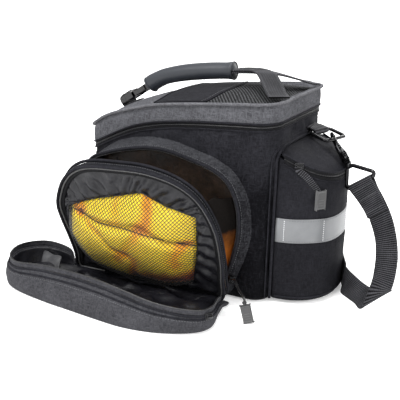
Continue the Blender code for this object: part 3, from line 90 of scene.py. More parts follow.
NET_BULGE = 0.030
FLAP_LENGTH = 0.232
FLAP_REACH = 0.124
FLAP_RIM = 0.038
FLAP_WALL = 0.0022
FLAP_TAPE = 0.006
RIGHT_DEPTH = 0.058
GRIP_RADIUS = 0.0108
LEG_WIDTH = 0.026
LEG_THICK = 0.0017
STRAP_WIDTH = 0.038
STRAP_THICK = 0.0016
EYE_WIRE = 0.0018
GAP = 0.0003
RIB_SPACING = 0.0013
PLAN_SPACING = 0.004
FRAME_FACE = SIDE + FRAME_DEPTH
HINGE_Y = -(FRAME_FACE + 2 * PIPING + GAP)
FLAP_Y = HINGE_Y - 0.004
PANEL_UP = Vector((0, -math.sin(PANEL_LEAN), math.cos(PANEL_LEAN)))
PANEL_OUT = Vector((0, -math.cos(PANEL_LEAN), -math.sin(PANEL_LEAN)))

# Side view of the bag: heights are shares of BAG_HEIGHT, half_width of SIDE
SIDE_VIEW = {
    "along": (-1.00, -0.90, -0.73, -0.48, -0.23, 0.00, 0.30, 0.65, 1.00),
    "rim": (0.752, 0.800, 0.844, 0.886, 0.924, 0.944, 0.964, 0.984, 1.000),
    "lid_edge": (0.660, 0.684, 0.732, 0.794, 0.832, 0.854, 0.872, 0.888, 0.900),
    "body_top": (0.628, 0.654, 0.702, 0.760, 0.798, 0.822, 0.840, 0.854, 0.868),
    "half_width": (0.760, 0.776, 0.810, 0.870, 0.940, 0.985, 1.000, 1.000, 1.000),
}

# Opening of the frame on the body's side: along, up and how much its root spreads
FRAME_OUTLINE = (
    (0.78, 0.00, 0.8), (0.84, 0.12, 0.9), (0.915, 0.28, 1.1), (0.965, 0.46, 1.2), (0.955, 0.62, 1.1),
    (0.895, 0.75, 1.0), (0.79, 0.85, 1.0), (0.60, 0.92, 1.0), (0.34, 0.965, 1.0), (0.08, 1.00, 1.0),
    (-0.18, 1.00, 1.0), (-0.45, 0.965, 1.0), (-0.70, 0.915, 0.8), (-0.90, 0.85, 0.3),
    (-0.99, 0.72, 0.1), (-1.00, 0.50, 0.1), (-0.97, 0.25, 0.1), (-0.92, 0.00, 0.5),
    (-0.45, 0.00, 0.8), (0.05, 0.00, 0.8), (0.45, 0.00, 0.8),
)

# Leaning panel: along, up and the rim's flare
PANEL_OUTLINE = (
    (0.93, 0.00, 0.6), (0.985, 0.18, 1.0), (1.00, 0.38, 1.2), (0.98, 0.58, 1.4), (0.90, 0.75, 1.4),
    (0.78, 0.87, 1.2), (0.58, 0.955, 0.8), (0.28, 1.00, 0.4), (-0.05, 0.995, 0.2),
    (-0.38, 0.97, 0.2), (-0.585, 0.91, 0.2), (-0.73, 0.81, 0.3), (-0.825, 0.69, 0.4),
    (-0.88, 0.575, 0.4), (-0.872, 0.46, 0.3), (-0.838, 0.32, 0.2), (-0.805, 0.16, 0.2),
    (-0.79, 0.00, 0.2), (-0.40, 0.00, 0.0), (0.05, 0.00, 0.0), (0.50, 0.00, 0.0),
)

# Four sides of the net's window: step, along and up in panel shares
WINDOW_TOP = ((0.00, -0.74, 0.60), (0.25, -0.40, 0.70), (0.50, 0.00, 0.785), (0.64, 0.22, 0.835),
              (0.80, 0.48, 0.755), (1.00, 0.82, 0.705))
WINDOW_BOTTOM = ((0.00, -0.70, 0.24), (0.25, -0.42, 0.13), (0.50, -0.05, 0.075),
                 (0.75, 0.35, 0.07), (1.00, 0.66, 0.10))
WINDOW_FRONT = ((0.0, -0.70, 0.24), (0.5, -0.80, 0.42), (1.0, -0.74, 0.60))
WINDOW_REAR = ((0.0, 0.66, 0.10), (0.5, 0.77, 0.42), (1.0, 0.82, 0.705))

# Folded-down flap: outline on the floor, then how far the rim stands out and up
FLAP_PLAN = (
    (0.96, 0.00, 0.97, 0.00, 0.10), (0.99, 0.14, 1.00, 0.13, 0.26), (1.05, 0.36, 1.07, 0.36, 0.50),
    (1.11, 0.58, 1.14, 0.58, 0.60), (1.05, 0.74, 1.11, 0.77, 0.64), (0.87, 0.87, 0.90, 0.85, 0.65),
    (0.63, 0.96, 0.62, 0.89, 0.72), (0.34, 1.00, 0.33, 0.89, 0.86),
    (0.02, 0.975, -0.02, 0.865, 0.98), (-0.34, 0.93, -0.38, 0.83, 1.00),
    (-0.71, 0.88, -0.76, 0.79, 0.93), (-1.10, 0.79, -1.14, 0.735, 0.76),
    (-1.32, 0.65, -1.38, 0.55, 0.68), (-1.40, 0.43, -1.47, 0.32, 0.70),
    (-1.36, 0.20, -1.41, 0.12, 0.70), (-1.20, 0.05, -1.24, 0.00, 0.68),
    (-0.96, 0.01, -0.98, -0.01, 0.55), (-0.86, 0.00, -0.87, 0.00, 0.10),
    (-0.40, 0.00, -0.40, 0.00, 0.10), (0.05, 0.00, 0.05, 0.00, 0.10), (0.50, 0.00, 0.50, 0.00, 0.10),
)

# Grip's centre line and girth
GRIP_LINE = (
    (-0.625, 0.945, 0.80), (-0.605, 0.955, 1.04), (-0.555, 0.973, 1.02), (-0.430, 1.005, 0.97),
    (-0.210, 1.035, 1.00), (0.040, 1.057, 1.00), (0.225, 1.068, 0.98), (0.290, 1.071, 1.04),
    (0.310, 1.072, 0.80),
)

# Handle's rear leg: along, across, up and how far its width has turned
LEG_LINE = (
    (0.325, 0.00, 1.073, 0.0), (0.440, 0.00, 1.080, 0.0), (0.560, 0.03, 1.084, 0.25),
    (0.680, 0.16, 1.078, 0.80), (0.800, 0.38, 1.050, 1.0), (0.900, 0.58, 1.022, 1.0),
    (0.965, 0.71, 1.012, 1.0),
)

# One edge of the strap as shares of length, width and height, and the way to the other edge
# in strap widths; it folds on the floor behind the pocket
STRAP_LINE = (
    (0.7750, 0.0000, 0.5480, 0.782, -0.251, 0.571), (0.8130, -0.0300, 0.5200, 0.722, -0.341, 0.602),
    (0.8714, -0.0900, 0.4730, 0.690, -0.420, 0.590), (0.9102, -0.1310, 0.4180, 0.730, -0.430, 0.530),
    (0.9378, -0.1550, 0.3520, 0.770, -0.480, 0.420), (0.9502, -0.1670, 0.2746, 0.817, -0.498, 0.289),
    (0.9509, -0.1780, 0.2003, 0.820, -0.540, 0.190), (0.9454, -0.1900, 0.1450, 0.802, -0.581, 0.140),
    (0.9103, -0.2054, 0.0100, 0.961, -0.174, 0.882), (0.8640, -0.1446, 0.0100, 0.803, -0.124, 0.697),
    (0.8161, -0.0821, 0.0100, 0.721, -0.216, 0.658), (0.7739, -0.0179, 0.0100, 0.513, -0.237, 0.787),
    (0.7605, 0.0357, 0.0080, 0.171, -0.158, 0.934), (0.7680, 0.0600, 0.0036, 0.000, 0.000, 1.000),
    (0.7470, 0.1300, 0.0036, 0.000, 0.000, 1.000), (0.7200, 0.2250, 0.0036, 0.000, 0.000, 1.000),
    (0.6900, 0.3250, 0.0036, 0.000, 0.000, 1.000), (0.6400, 0.4200, 0.0036, 0.000, 0.000, 1.000),
    (0.6075, 0.5562, 0.0111, -0.120, -0.160, 0.980), (0.5974, 0.7277, 0.0159, -0.428, -0.388, 0.816),
    (0.5427, 0.9293, 0.0136, -0.499, -0.749, 0.437), (0.4012, 1.0770, 0.0120, -0.283, -0.959, 0.000),
    (0.1000, 1.1462, 0.0065, 0.000, -1.000, 0.000), (-0.1716, 1.1455, 0.0070, 0.080, -0.997, 0.000),
    (-0.3891, 1.0867, 0.0070, 0.406, -0.914, 0.000), (-0.5965, 0.9057, 0.0075, 0.800, -0.600, 0.000),
    (-0.6940, 0.6336, 0.0090, 0.989, -0.148, 0.000), (-0.7073, 0.4236, 0.0407, 0.957, 0.249, -0.150),
    (-0.6853, 0.1955, 0.0753, 0.723, 0.683, -0.100), (-0.6480, 0.0828, 0.1376, 0.398, 0.916, -0.050),
    (-0.6095, 0.0355, 0.2050, 0.120, 0.993, 0.000), (-0.5880, 0.0198, 0.2800, 0.000, 1.000, 0.000),
)
STRAP_DOUBLED = 5


# Mesh helpers

def distances(points):
    steps = [0.0]
    for before, after in zip(points, points[1:]):
        steps.append(steps[-1] + (after - before).length)
    return steps


def points_at(wanted, at, points):
    """Points at the wanted distances of a line whose own points stand at the given ones."""
    axes = [np.interp(wanted, at, [p[axis] for p in points]) for axis in range(len(points[0]))]
    return [Vector(p) for p in zip(*axes)]


def evenly(length, spacing):
    return np.linspace(0, length, max(2, round(length / spacing)) + 1)


def resample(points, spacing, closed=False):
    """Points at even spacing along a line through the given ones."""
    line = list(points) + ([points[0]] if closed else [])
    at = distances(line)
    wanted = evenly(at[-1], spacing)
    return points_at(wanted[:-1] if closed else wanted, at, line)


def heading(points, here, closed=False):
    """Direction of a line at one of its points, from its neighbour before to the one after."""
    last = len(points) - 1
    if closed:
        return (points[0 if here == last else here + 1] - points[here - 1]).normalized()
    return (points[min(here + 1, last)] - points[max(here - 1, 0)]).normalized()


def grow(outline, amounts):
    """A flat closed outline moved outward by an amount at each of its points."""
    result = []
    for here, point in enumerate(outline):
        ahead = heading(outline, here, True)
        result.append(point + Vector((ahead.y, -ahead.x)) * amounts[here])
    return result


def unit(x, y, z):
    return Vector((x, y, z)).normalized()


def curve_through(points, steps, closed=True):
    """Points on a Catmull-Rom curve through the given ones, steps to each span."""
    count = len(points)
    result = []
    for span in range(count if closed else count - 1):
        if closed:
            a, b, c, d = (points[(span + k) % count] for k in (-1, 0, 1, 2))
        else:
            a, b, c, d = (points[min(max(span + k, 0), count - 1)] for k in (-1, 0, 1, 2))
        for step in range(steps):
            t = step / steps
            result.append(0.5 * (2 * b + (c - a) * t + (2 * a - 5 * b + 4 * c - d) * t * t
                                 + (3 * b - a - 3 * c + d) * t ** 3))
    if not closed:
        result.append(points[-1].copy())
    return result


def smooth_step(low, high, value):
    t = min(1.0, max(0.0, (value - low) / (high - low)))
    return t * t * (3 - 2 * t)


def finish_mesh(name, shape, sharp=40):
    bmesh.ops.remove_doubles(shape, verts=shape.verts, dist=1e-6)
    bmesh.ops.recalc_face_normals(shape, faces=shape.faces)
    mesh = bpy.data.meshes.new(name)
    shape.to_mesh(mesh)
    shape.free()
    mesh.shade_smooth()
    mesh.set_sharp_from_angle(angle=math.radians(sharp))
    obj = bpy.data.objects.new(name, mesh)
    bpy.context.scene.collection.objects.link(obj)
    return obj


def surface(name, rows, wrap=False, loop=False, caps=False, sharp=40):
    """Quads through rows of points, with a UV map in metres.

    wrap joins the two ends of each row, loop joins the last row to the first.
    """
    shape = bmesh.new()
    layer = shape.loops.layers.uv.new("cloth")
    grid = [[shape.verts.new(point) for point in row] for row in rows]
    high, long = len(rows), len(rows[0])
    middle = high // 2
    u = distances(list(rows[middle]) + [rows[middle][0]])
    v = distances([row[long // 3] for row in rows] + [rows[0][long // 3]])
    for i in range(high if loop else high - 1):
        for j in range(long if wrap else long - 1):
            places = ((i, j), (i, j + 1), (i + 1, j + 1), (i + 1, j))
            face = shape.faces.new([grid[a % high][b % long] for a, b in places])
            for corner, (a, b) in zip(face.loops, places):
                corner[layer].uv = (u[b], v[a])
    if caps:
        shape.faces.new(list(reversed(grid[0])))
        shape.faces.new(grid[-1])
    return finish_mesh(name, shape, sharp)


def thicken(obj, thickness, offset=0.0):
    wall = obj.modifiers.new("Wall", "SOLIDIFY")
    wall.thickness = thickness
    wall.offset = offset
    wall.use_quality_normals = True
    return obj


def tube_rows(points, radii, sides, closed, guide):
    rows = []
    normal = guide
    turns = [2 * math.pi * step / sides for step in range(sides)]
    for here, point in enumerate(points):
        ahead = heading(points, here, closed)
        start = guide if closed else normal
        normal = start - ahead * start.dot(ahead)
        if normal.length < 1e-4:
            normal = ahead.orthogonal()
        normal.normalize()
        other = ahead.cross(normal)
        rows.append([point + (normal * math.cos(a) + other * math.sin(a)) * radii[here] for a in turns])
    return rows


def tube(name, points, radius, sides=10, closed=False, guide=UP, radii=None):
    radii = radii or [radius] * len(points)
    rows = tube_rows(points, radii, sides, closed, guide)
    return surface(name, rows, wrap=True, loop=closed, caps=not closed, sharp=60)


def zip_coil(name, points, radius, guide=UP, pitch=1.5 * MM, closed=False):
    """Zip coil: a round line whose girth swells at each tooth."""
    line = resample(points, pitch / 2, closed)
    line = line[:len(line) - len(line) % 2]
    radii = [radius * (1.0 if here % 2 else 0.62) for here in range(len(line))]
    return tube(name, line, radius, 8, closed, guide, radii)


def middle_line(left, right):
    return [(a + b) / 2 for a, b in zip(left, right)]


def webbing(name, left, right, thickness, rib=0.0):
    """A flat strip between two edge lines with thin rounded edges, ribbed across when asked."""
    if rib:
        at = distances(middle_line(left, right))
        wanted = evenly(at[-1], RIB_SPACING)
        left, right = points_at(wanted, at, left), points_at(wanted, at, right)
    rows = []
    centres = middle_line(left, right)
    for here, (a, b) in enumerate(zip(left, right)):
        wide = (b - a).normalized()
        half = (b - a).length / 2
        normal = heading(centres, here).cross(wide).normalized()
        edge = min(0.9 * MM, 0.2 * half)
        tall = thickness / 2 + (rib if here % 2 else 0.0)
        section = [(-half, 0.0), (-half + 0.3 * edge, -0.72), (-half + edge, -1), (-0.5 * half, -1),
                   (0.0, -1), (0.5 * half, -1), (half - edge, -1), (half - 0.3 * edge, -0.72)]
        section += [(-x, -y) for x, y in section]
        rows.append([centres[here] + wide * x + normal * y * tall for x, y in section])
    return surface(name, rows, wrap=True, caps=True, sharp=55)


def strip(name, centres, wides, width, thickness, rib=0.0):
    """Webbing of one width along a centre line, with the direction of its width at each point."""
    left, right = [], []
    for here, (centre, wide) in enumerate(zip(centres, wides)):
        ahead = heading(centres, here)
        across = (wide - ahead * wide.dot(ahead)).normalized() * width / 2
        left.append(centre - across)
        right.append(centre + across)
    return webbing(name, left, right, thickness, rib)


def stitches(name, points, lift, pitch=3.2 * MM, length=2.1 * MM, width=0.55 * MM, closed=False):
    """A row of thread stitches along a line, lifted by a function of the point."""
    shape = bmesh.new()
    line = resample(points, pitch, closed)
    for before, after in zip(line, line[1:]):
        ahead = (after - before).normalized()
        out = lift(before)
        side = ahead.cross(out).normalized()
        middle = (before + after) / 2 + out * 0.25 * width
        ends = [shape.verts.new(middle + ahead * s * length / 2) for s in (-1, 1)]
        ring = [middle + side * x * width / 2 + out * y * width / 2
                for x, y in ((1, 0), (0.6, 0.8), (-0.6, 0.8), (-1, 0), (0, -0.6))]
        low = [shape.verts.new(p - ahead * 0.28 * length) for p in ring]
        high = [shape.verts.new(p + ahead * 0.28 * length) for p in ring]
        for k in range(5):
            n = (k + 1) % 5
            shape.faces.new((low[k], low[n], high[n], high[k]))
            shape.faces.new((ends[0], low[n], low[k]))
            shape.faces.new((ends[1], high[k], high[n]))
    return finish_mesh(name, shape)


def rounded_block(name, centre, axes, size, bevel, segments=3):
    shape = bmesh.new()
    bmesh.ops.create_cube(shape, size=1.0)
    for vert in shape.verts:
        local = vert.co.copy()
        vert.co = centre + sum((axes[i] * local[i] * size[i] for i in range(3)), Vector())
    bmesh.ops.bevel(shape, geom=shape.edges[:], offset=bevel, segments=segments, profile=0.5,
                    affect="EDGES")
    return finish_mesh(name, shape, 50)


def joined(name, *objs):
    """One object from several."""
    shape = bmesh.new()
    for obj in objs:
        shape.from_mesh(obj.data)
        bpy.data.objects.remove(obj)
    return finish_mesh(name, shape, 50)


def fold_noise(point, size, stretch=(1, 1, 1), seed=0.0):
    """Soft ridged noise between -1 and 1 for creases of about the given size."""
    place = Vector((point.x * stretch[0], point.y * stretch[1], point.z * stretch[2])) / size
    place += Vector((seed, 2.3 * seed, 0.7 * seed))
    return 1.6 * (0.5 - abs(noise.noise(place))) + 0.4 * noise.noise(2.3 * place) - 0.35


def crease(obj, amount, size, stretch=(1, 1, 1), seed=0.0, where=None):
    """Push the points of a cloth surface in and out along their normals."""
    mesh = obj.data
    normals = [vert.normal.copy() for vert in mesh.vertices]
    for vert, normal in zip(mesh.vertices, normals):
        share = where(vert.co) if where else 1.0
        vert.co += normal * amount * share * fold_noise(vert.co, size, stretch, seed)
    return obj


# The short simulation that fills a padded form
PUFF_FRAMES = 16
PUFF_SETTINGS = {
    "quality": 5, "mass": 0.3, "tension_stiffness": 25, "compression_stiffness": 25,
    "shear_stiffness": 8, "bending_stiffness": 0.6, "shrink_min": -0.035, "use_pressure": True,
    "uniform_pressure_force": 1.2, "vertex_group_mass": "seams",
}


def puff(obj, cap, pinned):
    """Fill a closed cloth form with a short simulation, then keep its points within cap."""
    scene = bpy.context.scene
    mesh = obj.data
    before = [vert.co.copy() for vert in mesh.vertices]
    group = obj.vertex_groups.new(name="seams")
    group.add([vert.index for vert in mesh.vertices if pinned(vert.co)], 1.0, "REPLACE")
    cloth = obj.modifiers.new("Cloth", "CLOTH")
    for setting, value in PUFF_SETTINGS.items():
        setattr(cloth.settings, setting, value)
    cloth.settings.effector_weights.gravity = 0
    cloth.collision_settings.use_collision = False
    cloth.point_cache.frame_start = 1
    cloth.point_cache.frame_end = PUFF_FRAMES
    for step in range(1, PUFF_FRAMES + 1):
        scene.frame_set(step)
    graph = bpy.context.evaluated_depsgraph_get()
    after = [vert.co.copy() for vert in obj.evaluated_get(graph).data.vertices]
    obj.modifiers.remove(cloth)
    scene.frame_set(1)
    for vert, old, new in zip(mesh.vertices, before, after):
        move = new - old
        if move.length > cap:
            move *= cap / move.length
        vert.co = old + move
    mesh.update()


# Materials

class Look:
    """A material whose nodes are added one line at a time."""

    def __init__(self, name, roughness, metallic=0.0, specular=0.4, sheen=0.0):
        self.material = bpy.data.materials.new(name)
        self.material.use_nodes = True
        self.tree = self.material.node_tree
        self.shader = self.tree.nodes["Principled BSDF"]
        for socket, value in (("Roughness", roughness), ("Metallic", metallic),
                              ("Specular IOR Level", specular), ("Sheen Weight", sheen)):
            self.shader.inputs[socket].default_value = value
        self.place = self.add("ShaderNodeTexCoord").outputs

    def add(self, kind, values=None, **settings):
        node = self.tree.nodes.new(kind)
        for key, value in settings.items():
            setattr(node, key, value)
        for key, value in (values or {}).items():
            if isinstance(value, bpy.types.NodeSocket):
                self.tree.links.new(value, node.inputs[key])
            else:
                node.inputs[key].default_value = value
        return node

    def math(self, operation, *values):
        return self.add("ShaderNodeMath", dict(enumerate(values)), operation=operation).outputs[0]

    def total(self, start, *shares):
        """A number and some sockets added up, each socket times its own weight."""
        for socket, weight in shares:
            start = self.math("MULTIPLY_ADD", socket, weight, start)
        return start

    def stretched(self, **turns):
        return self.add("ShaderNodeMapping", {"Vector": self.place["Object"], **turns}).outputs[0]

    def height(self):
        return self.add("ShaderNodeSeparateXYZ", {"Vector": self.place["Object"]}).outputs["Z"]

    def noise(self, scale, detail=3.0, where=None, rough=0.55):
        values = {"Vector": where or self.place["Object"], "Scale": scale, "Detail": detail,
                  "Roughness": rough}
        return self.add("ShaderNodeTexNoise", values).outputs["Fac"]

    def bands(self, period, direction, where=None, wobble=0.6):
        values = {"Vector": where or self.place["Object"], "Scale": 0.3142 / period,
                  "Distortion": wobble, "Detail": 1.0, "Detail Scale": 1.5}
        node = self.add("ShaderNodeTexWave", values, wave_type="BANDS", wave_profile="SIN")
        node.bands_direction = direction
        return node.outputs["Fac"]

    def paint(self, share, first, second, start=0.0, end=1.0):
        """Colour that runs from the first to the second while the share runs from start to end."""
        ramp = self.add("ShaderNodeValToRGB", {"Fac": share})
        for element, tone, place in zip(ramp.color_ramp.elements, (first, second), (start, end)):
            element.color = (*tone, 1)
            element.position = place
        self.tree.links.new(ramp.outputs[0], self.shader.inputs["Base Color"])
        return ramp.color_ramp.elements

    def rough(self, share, low, high):
        spread = self.add("ShaderNodeMapRange", {"Value": share, "To Min": low, "To Max": high})
        self.tree.links.new(spread.outputs[0], self.shader.inputs["Roughness"])

    def bump(self, *layers):
        """Stack height maps, each a socket and its height in metres."""
        last = None
        for height, distance in layers:
            values = {"Height": height, "Distance": distance, "Strength": 1.0}
            if last:
                values["Normal"] = last
            last = self.add("ShaderNodeBump", values).outputs[0]
        self.tree.links.new(last, self.shader.inputs["Normal"])


def woven(name, dark, light, thread=1.5 * MM, depth=0.12 * MM, painted_shade=None):
    """Plain weave seen from any side: threads, short streaks both ways and uneven wear.

    painted_shade is a height and the share by which cloth below it is painted darker, as shade where less
    light falls.
    """
    look = Look(name, 0.78, specular=0.05, sheen=0.004)
    look.shader.inputs["Sheen Roughness"].default_value = 0.45
    weave = look.total(0.0, *[(look.bands(thread, axis, wobble=1.5), weight)
                              for axis, weight in (("X", 0.4), ("Y", 0.3), ("Z", 0.4))])
    streaks = [look.noise(560.0, 2.0, look.stretched(Scale=scale), 0.6)
               for scale in ((0.30, 0.30, 1.0), (1.0, 1.0, 0.26))]
    thready = look.math("MAXIMUM", *streaks)
    slub = look.noise(620.0, 3.0, rough=0.7)
    patches = look.noise(34.0, 6.0, rough=0.62)
    share = look.total(-0.60, (patches, 0.45), (thready, 1.0), (slub, 0.45), (weave, 0.12))
    # Painted shade: cloth below the height is darkened
    if painted_shade:
        values = {"Value": look.height(), "From Min": painted_shade[0], "From Max": painted_shade[0] + 0.06,
                  "To Min": -painted_shade[1], "To Max": 0.0}
        share = look.math("ADD", share, look.add("ShaderNodeMapRange", values).outputs[0])
    look.paint(share, dark, light, 0.08, 0.92)
    look.rough(patches, 0.70, 0.88)
    look.bump((look.noise(48.0, 4.0), 1.1 * MM), (thready, 0.22 * MM), (weave, depth), (slub, 0.12 * MM))
    return look.material


def nylon(name, dark, light, rough=0.42, crumple=1.6 * MM, size=45.0, sheen=0.04):
    """Thin crumpled cloth with a faint ripstop grid."""
    look = Look(name, rough, specular=0.25, sheen=sheen)
    folds = look.noise(size, 5.0)
    fine = look.noise(size * 5, 3.0)
    grid = look.math("MAXIMUM", look.bands(0.9 * MM, "X"), look.bands(0.9 * MM, "Z"))
    look.paint(look.total(0.0, (folds, 0.6), (fine, 0.4)), dark, light, 0.30, 0.72)
    look.rough(folds, rough - 0.08, rough + 0.12)
    look.bump((folds, crumple), (fine, 0.25 * crumple), (grid, 0.05 * MM))
    return look.material


def ribbed_webbing(name, dark, light, rib=2.6 * MM):
    """Webbing with ribs across it and a twill along it, from the strip's own UV map."""
    look = Look(name, 0.62, specular=0.10)
    ribs = look.bands(rib, "Y", look.place["UV"], 0.4)
    warp = look.bands(3.0 * MM, "X", look.place["UV"], 1.5)
    weave = look.total(0.0, (warp, 0.2), (ribs, 0.8))
    fibre = look.noise(700.0, 2.0)
    patches = look.noise(60.0, 4.0)
    look.paint(look.total(-0.95, (patches, 0.7), (fibre, 0.7), (weave, 1.1)), dark, light)
    look.rough(patches, 0.54, 0.72)
    look.bump((weave, 0.30 * MM), (fibre, 0.08 * MM))
    return look.material


def moulded(name, colour, rough=0.35, grain=0.05 * MM, metallic=0.0, worn=1.6):
    """Moulded plastic, rubber or plated metal: fine grain with rubbed edges."""
    look = Look(name, rough, metallic)
    grains = look.noise(700.0, 3.0)
    rubs = look.noise(60.0, 5.0)
    edge = look.add("ShaderNodeNewGeometry").outputs["Pointiness"]
    light = tuple(min(1.0, value * worn + 0.015) for value in colour)
    look.paint(look.total(-2.0, (rubs, 0.5), (edge, 4.0)), colour, light, 0.25)
    look.rough(rubs, rough - 0.06, rough + 0.14)
    look.bump((grains, grain), (rubs, 0.1 * MM))
    return look.material


def foam(name, colour):
    """Closed-cell foam skin: smooth with shallow dimples."""
    look = Look(name, 0.5, sheen=0.04)
    cells = look.noise(800.0, 3.0)
    dents = look.noise(70.0, 3.0)
    look.paint(dents, colour, tuple(value * 1.45 for value in colour))
    look.rough(dents, 0.42, 0.6)
    look.bump((dents, 0.5 * MM), (cells, 0.10 * MM))
    return look.material


def reflective_tape(name):
    """Grey tape of glass beads, unevenly worn."""
    look = Look(name, 0.32, metallic=0.25)
    beads = look.noise(1500.0, 2.0)
    wear = look.noise(45.0, 5.0)
    look.paint(wear, (0.088, 0.091, 0.096), (0.170, 0.175, 0.18))
    look.rough(wear, 0.25, 0.42)
    look.bump((wear, 0.3 * MM), (beads, 0.06 * MM))
    return look.material


# Slant of the air mesh's ribs, as a direction, and the distance between them
SLANT = (0.82, 0.57, 3.6 * MM)


def air_mesh(name):
    """Spacer mesh: rows of small holes between slanting ribs, with the holes and the grooves between the
    ribs painted near black as their shade.
    """
    look = Look(name, 0.75, specular=0.15)
    turned = look.stretched(Rotation=(0, 0, -math.atan2(SLANT[1], SLANT[0])))
    ribs = look.bands(SLANT[2], "X", turned, 0.0)
    cells = look.add("ShaderNodeTexVoronoi", {"Vector": look.place["Object"], "Scale": 420.0},
                     feature="F1").outputs["Distance"]
    fibre = look.noise(1000.0, 2.0)
    # Painted shade: recessed cells and the grooves between ribs are near black
    look.paint(look.total(0.55, (cells, 0.7), (fibre, 0.3), (ribs, -0.75)),
               (0.046, 0.047, 0.050), (0.001, 0.001, 0.0015), 0.25, 0.85)
    look.bump((cells, -0.4 * MM), (fibre, 0.1 * MM))
    return look.material


def cover_cloth(name):
    """Yellow coated nylon, painted orange to dark red-brown as shade where the mesh says that it is folded
    and in the hollows of its noise.
    """
    look = Look(name, 0.42, sheen=0.1)
    folds = look.noise(26.0, 2.5, look.stretched(Scale=(1.6, 1.0, 0.55)), 0.5)
    fine = look.noise(140.0, 4.0)
    fold_shade = look.add("ShaderNodeAttribute", attribute_name="fold_shade").outputs["Fac"]
    # Painted shade: orange to red-brown where the folds and the noise's hollows are
    tones = look.paint(look.total(0.42, (folds, 0.45), (fine, 0.16), (fold_shade, -0.62)),
                       (0.36, 0.04, 0.003), (1.0, 0.72, 0.028), 0.06, 0.70)
    tones.new(0.38).color = (0.98, 0.40, 0.008, 1)
    tones.new(0.55).color = (1.0, 0.64, 0.016, 1)
    look.bump((folds, 3.0 * MM), (fine, 0.4 * MM))
    return look.material


def gusset_cloth(name):
    """Lining that is orange-brown low down and painted near black higher up, as the shade inside the gap.
    """
    look = Look(name, 0.6, specular=0.06)
    folds = look.noise(60.0, 4.0)
    # Painted shade: the lining turns near black higher up the gap
    look.paint(look.total(-1.35, (folds, 0.5), (look.height(), 22.0)),
               (0.42, 0.13, 0.018), (0.003, 0.002, 0.0015), 0.0, 0.9)
    look.bump((folds, 1.5 * MM))
    return look.material


# Body, pocket and frame cloths are painted darker low down by different amounts, as shade
BODY_CLOTH = woven("body_cloth", (0.0015, 0.0015, 0.0022), (0.024, 0.024, 0.029), painted_shade=(0.13, 0.35))
POCKET_CLOTH = woven("pocket_cloth", (0.0035, 0.0035, 0.0045), (0.019, 0.019, 0.023), painted_shade=(0.06, 0.12))
FRAME_CLOTH = woven("frame_cloth", (0.0050, 0.0050, 0.0062), (0.062, 0.063, 0.070), painted_shade=(0.13, 0.30))
FLAP_CLOTH = woven("flap_cloth", (0.008, 0.008, 0.0095), (0.066, 0.066, 0.073))
LIGHT_CLOTH = woven("light_cloth", (0.010, 0.010, 0.012), (0.118, 0.119, 0.130), depth=0.16 * MM)
SMOOTH_CLOTH = woven("smooth_cloth", (0.003, 0.003, 0.004), (0.024, 0.024, 0.028), 1.2 * MM, 0.06 * MM)
PIPING_CLOTH = woven("piping_cloth", (0.002, 0.002, 0.003), (0.024, 0.024, 0.029), 1.0 * MM)
RIM_CLOTH = woven("rim_cloth", (0.020, 0.020, 0.024), (0.15, 0.15, 0.16), 1.0 * MM)
HEM_NYLON = nylon("hem_nylon", (0.002, 0.002, 0.003), (0.011, 0.011, 0.014), 0.36, 1.2 * MM, 70.0, 0.0)
# Orange lining painted dark brown, as the shade inside the side pocket
SHADED_LINING = nylon("shaded_lining", (0.0012, 0.0008, 0.0006), (0.024, 0.013, 0.008), 0.55, sheen=0.0)
GUSSET = gusset_cloth("gusset_lining")
WEBBING = ribbed_webbing("webbing", (0.0006, 0.0006, 0.001), (0.062, 0.062, 0.069))
ZIP_TAPE = ribbed_webbing("zip_tape", (0.0012, 0.0012, 0.0016), (0.010, 0.010, 0.012), 0.9 * MM)
COIL = moulded("zip_coil", (0.006, 0.006, 0.007), 0.32)
FOAM = foam("foam_grip", (0.0085, 0.0105, 0.0145))
PLASTIC = moulded("black_plastic", (0.003, 0.003, 0.0035), 0.22)
RUBBER = moulded("grey_rubber", (0.046, 0.046, 0.047), 0.55, 0.12 * MM)
METAL = moulded("dark_metal", (0.006, 0.006, 0.007), 0.15, 0.02 * MM, 0.6, 1.5)
TAPE = reflective_tape("reflective_tape")
AIR_MESH = air_mesh("air_mesh")
COVER = cover_cloth("cover_cloth")
THREAD = moulded("thread", (0.040, 0.041, 0.045), 0.6)
PALE_THREAD = moulded("pale_thread", (0.42, 0.42, 0.43), 0.6)
NET_YARN = moulded("net_yarn", (0.003, 0.0025, 0.0025), 0.5)
GREY_TAB = nylon("grey_tab", (0.018, 0.018, 0.020), (0.060, 0.060, 0.064), 0.45, 1.0 * MM)


def dress(obj, material, slot, *nodes, body="bag"):
    """Give a piece its finish, the nodes that it stands for and the body it rides on; slot is not used."""
    obj.data.materials.clear()
    obj.data.materials.append(material)
    if nodes:
        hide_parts(*nodes)
    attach(obj, body)
    return obj


def piping(name, line, radius, *nodes, slot="fabric", **shape):
    return dress(tube(name, line, radius, **shape), PIPING_CLOTH, slot, *nodes)


def coil(name, line, radius, *nodes, **shape):
    return dress(zip_coil(name, line, radius, **shape), COIL, "zip_tape", *nodes)


def sewn(name, line, lift, *sizes, slot="fabric", **shape):
    return dress(stitches(name, line, lift, *sizes, **shape), THREAD, slot)


def box_of(node):
    """Low corner, middle and size of a node's box."""
    low, high = (Vector(corner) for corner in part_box(node))
    return low, (low + high) / 2, high - low


def outline_area(outline):
    """Flat area inside an outline, by its first two coordinates."""
    after = outline[1:] + outline[:1]
    return abs(sum(p[0] * q[1] - q[0] * p[1] for p, q in zip(outline, after))) / 2


def outline_length(outline):
    flat = [Vector(p[:2]) for p in outline]
    return distances(flat + flat[:1])[-1]


def cut_to(outline, fullness):
    """Flat size and area of cloth cut to an outline, larger by the share that its folds take up."""
    grown = math.sqrt(fullness)
    size = [(max(p[axis] for p in outline) - min(p[axis] for p in outline)) * grown for axis in (1, 0)]
    return size, outline_area(outline) * fullness


# Camera, light and floor

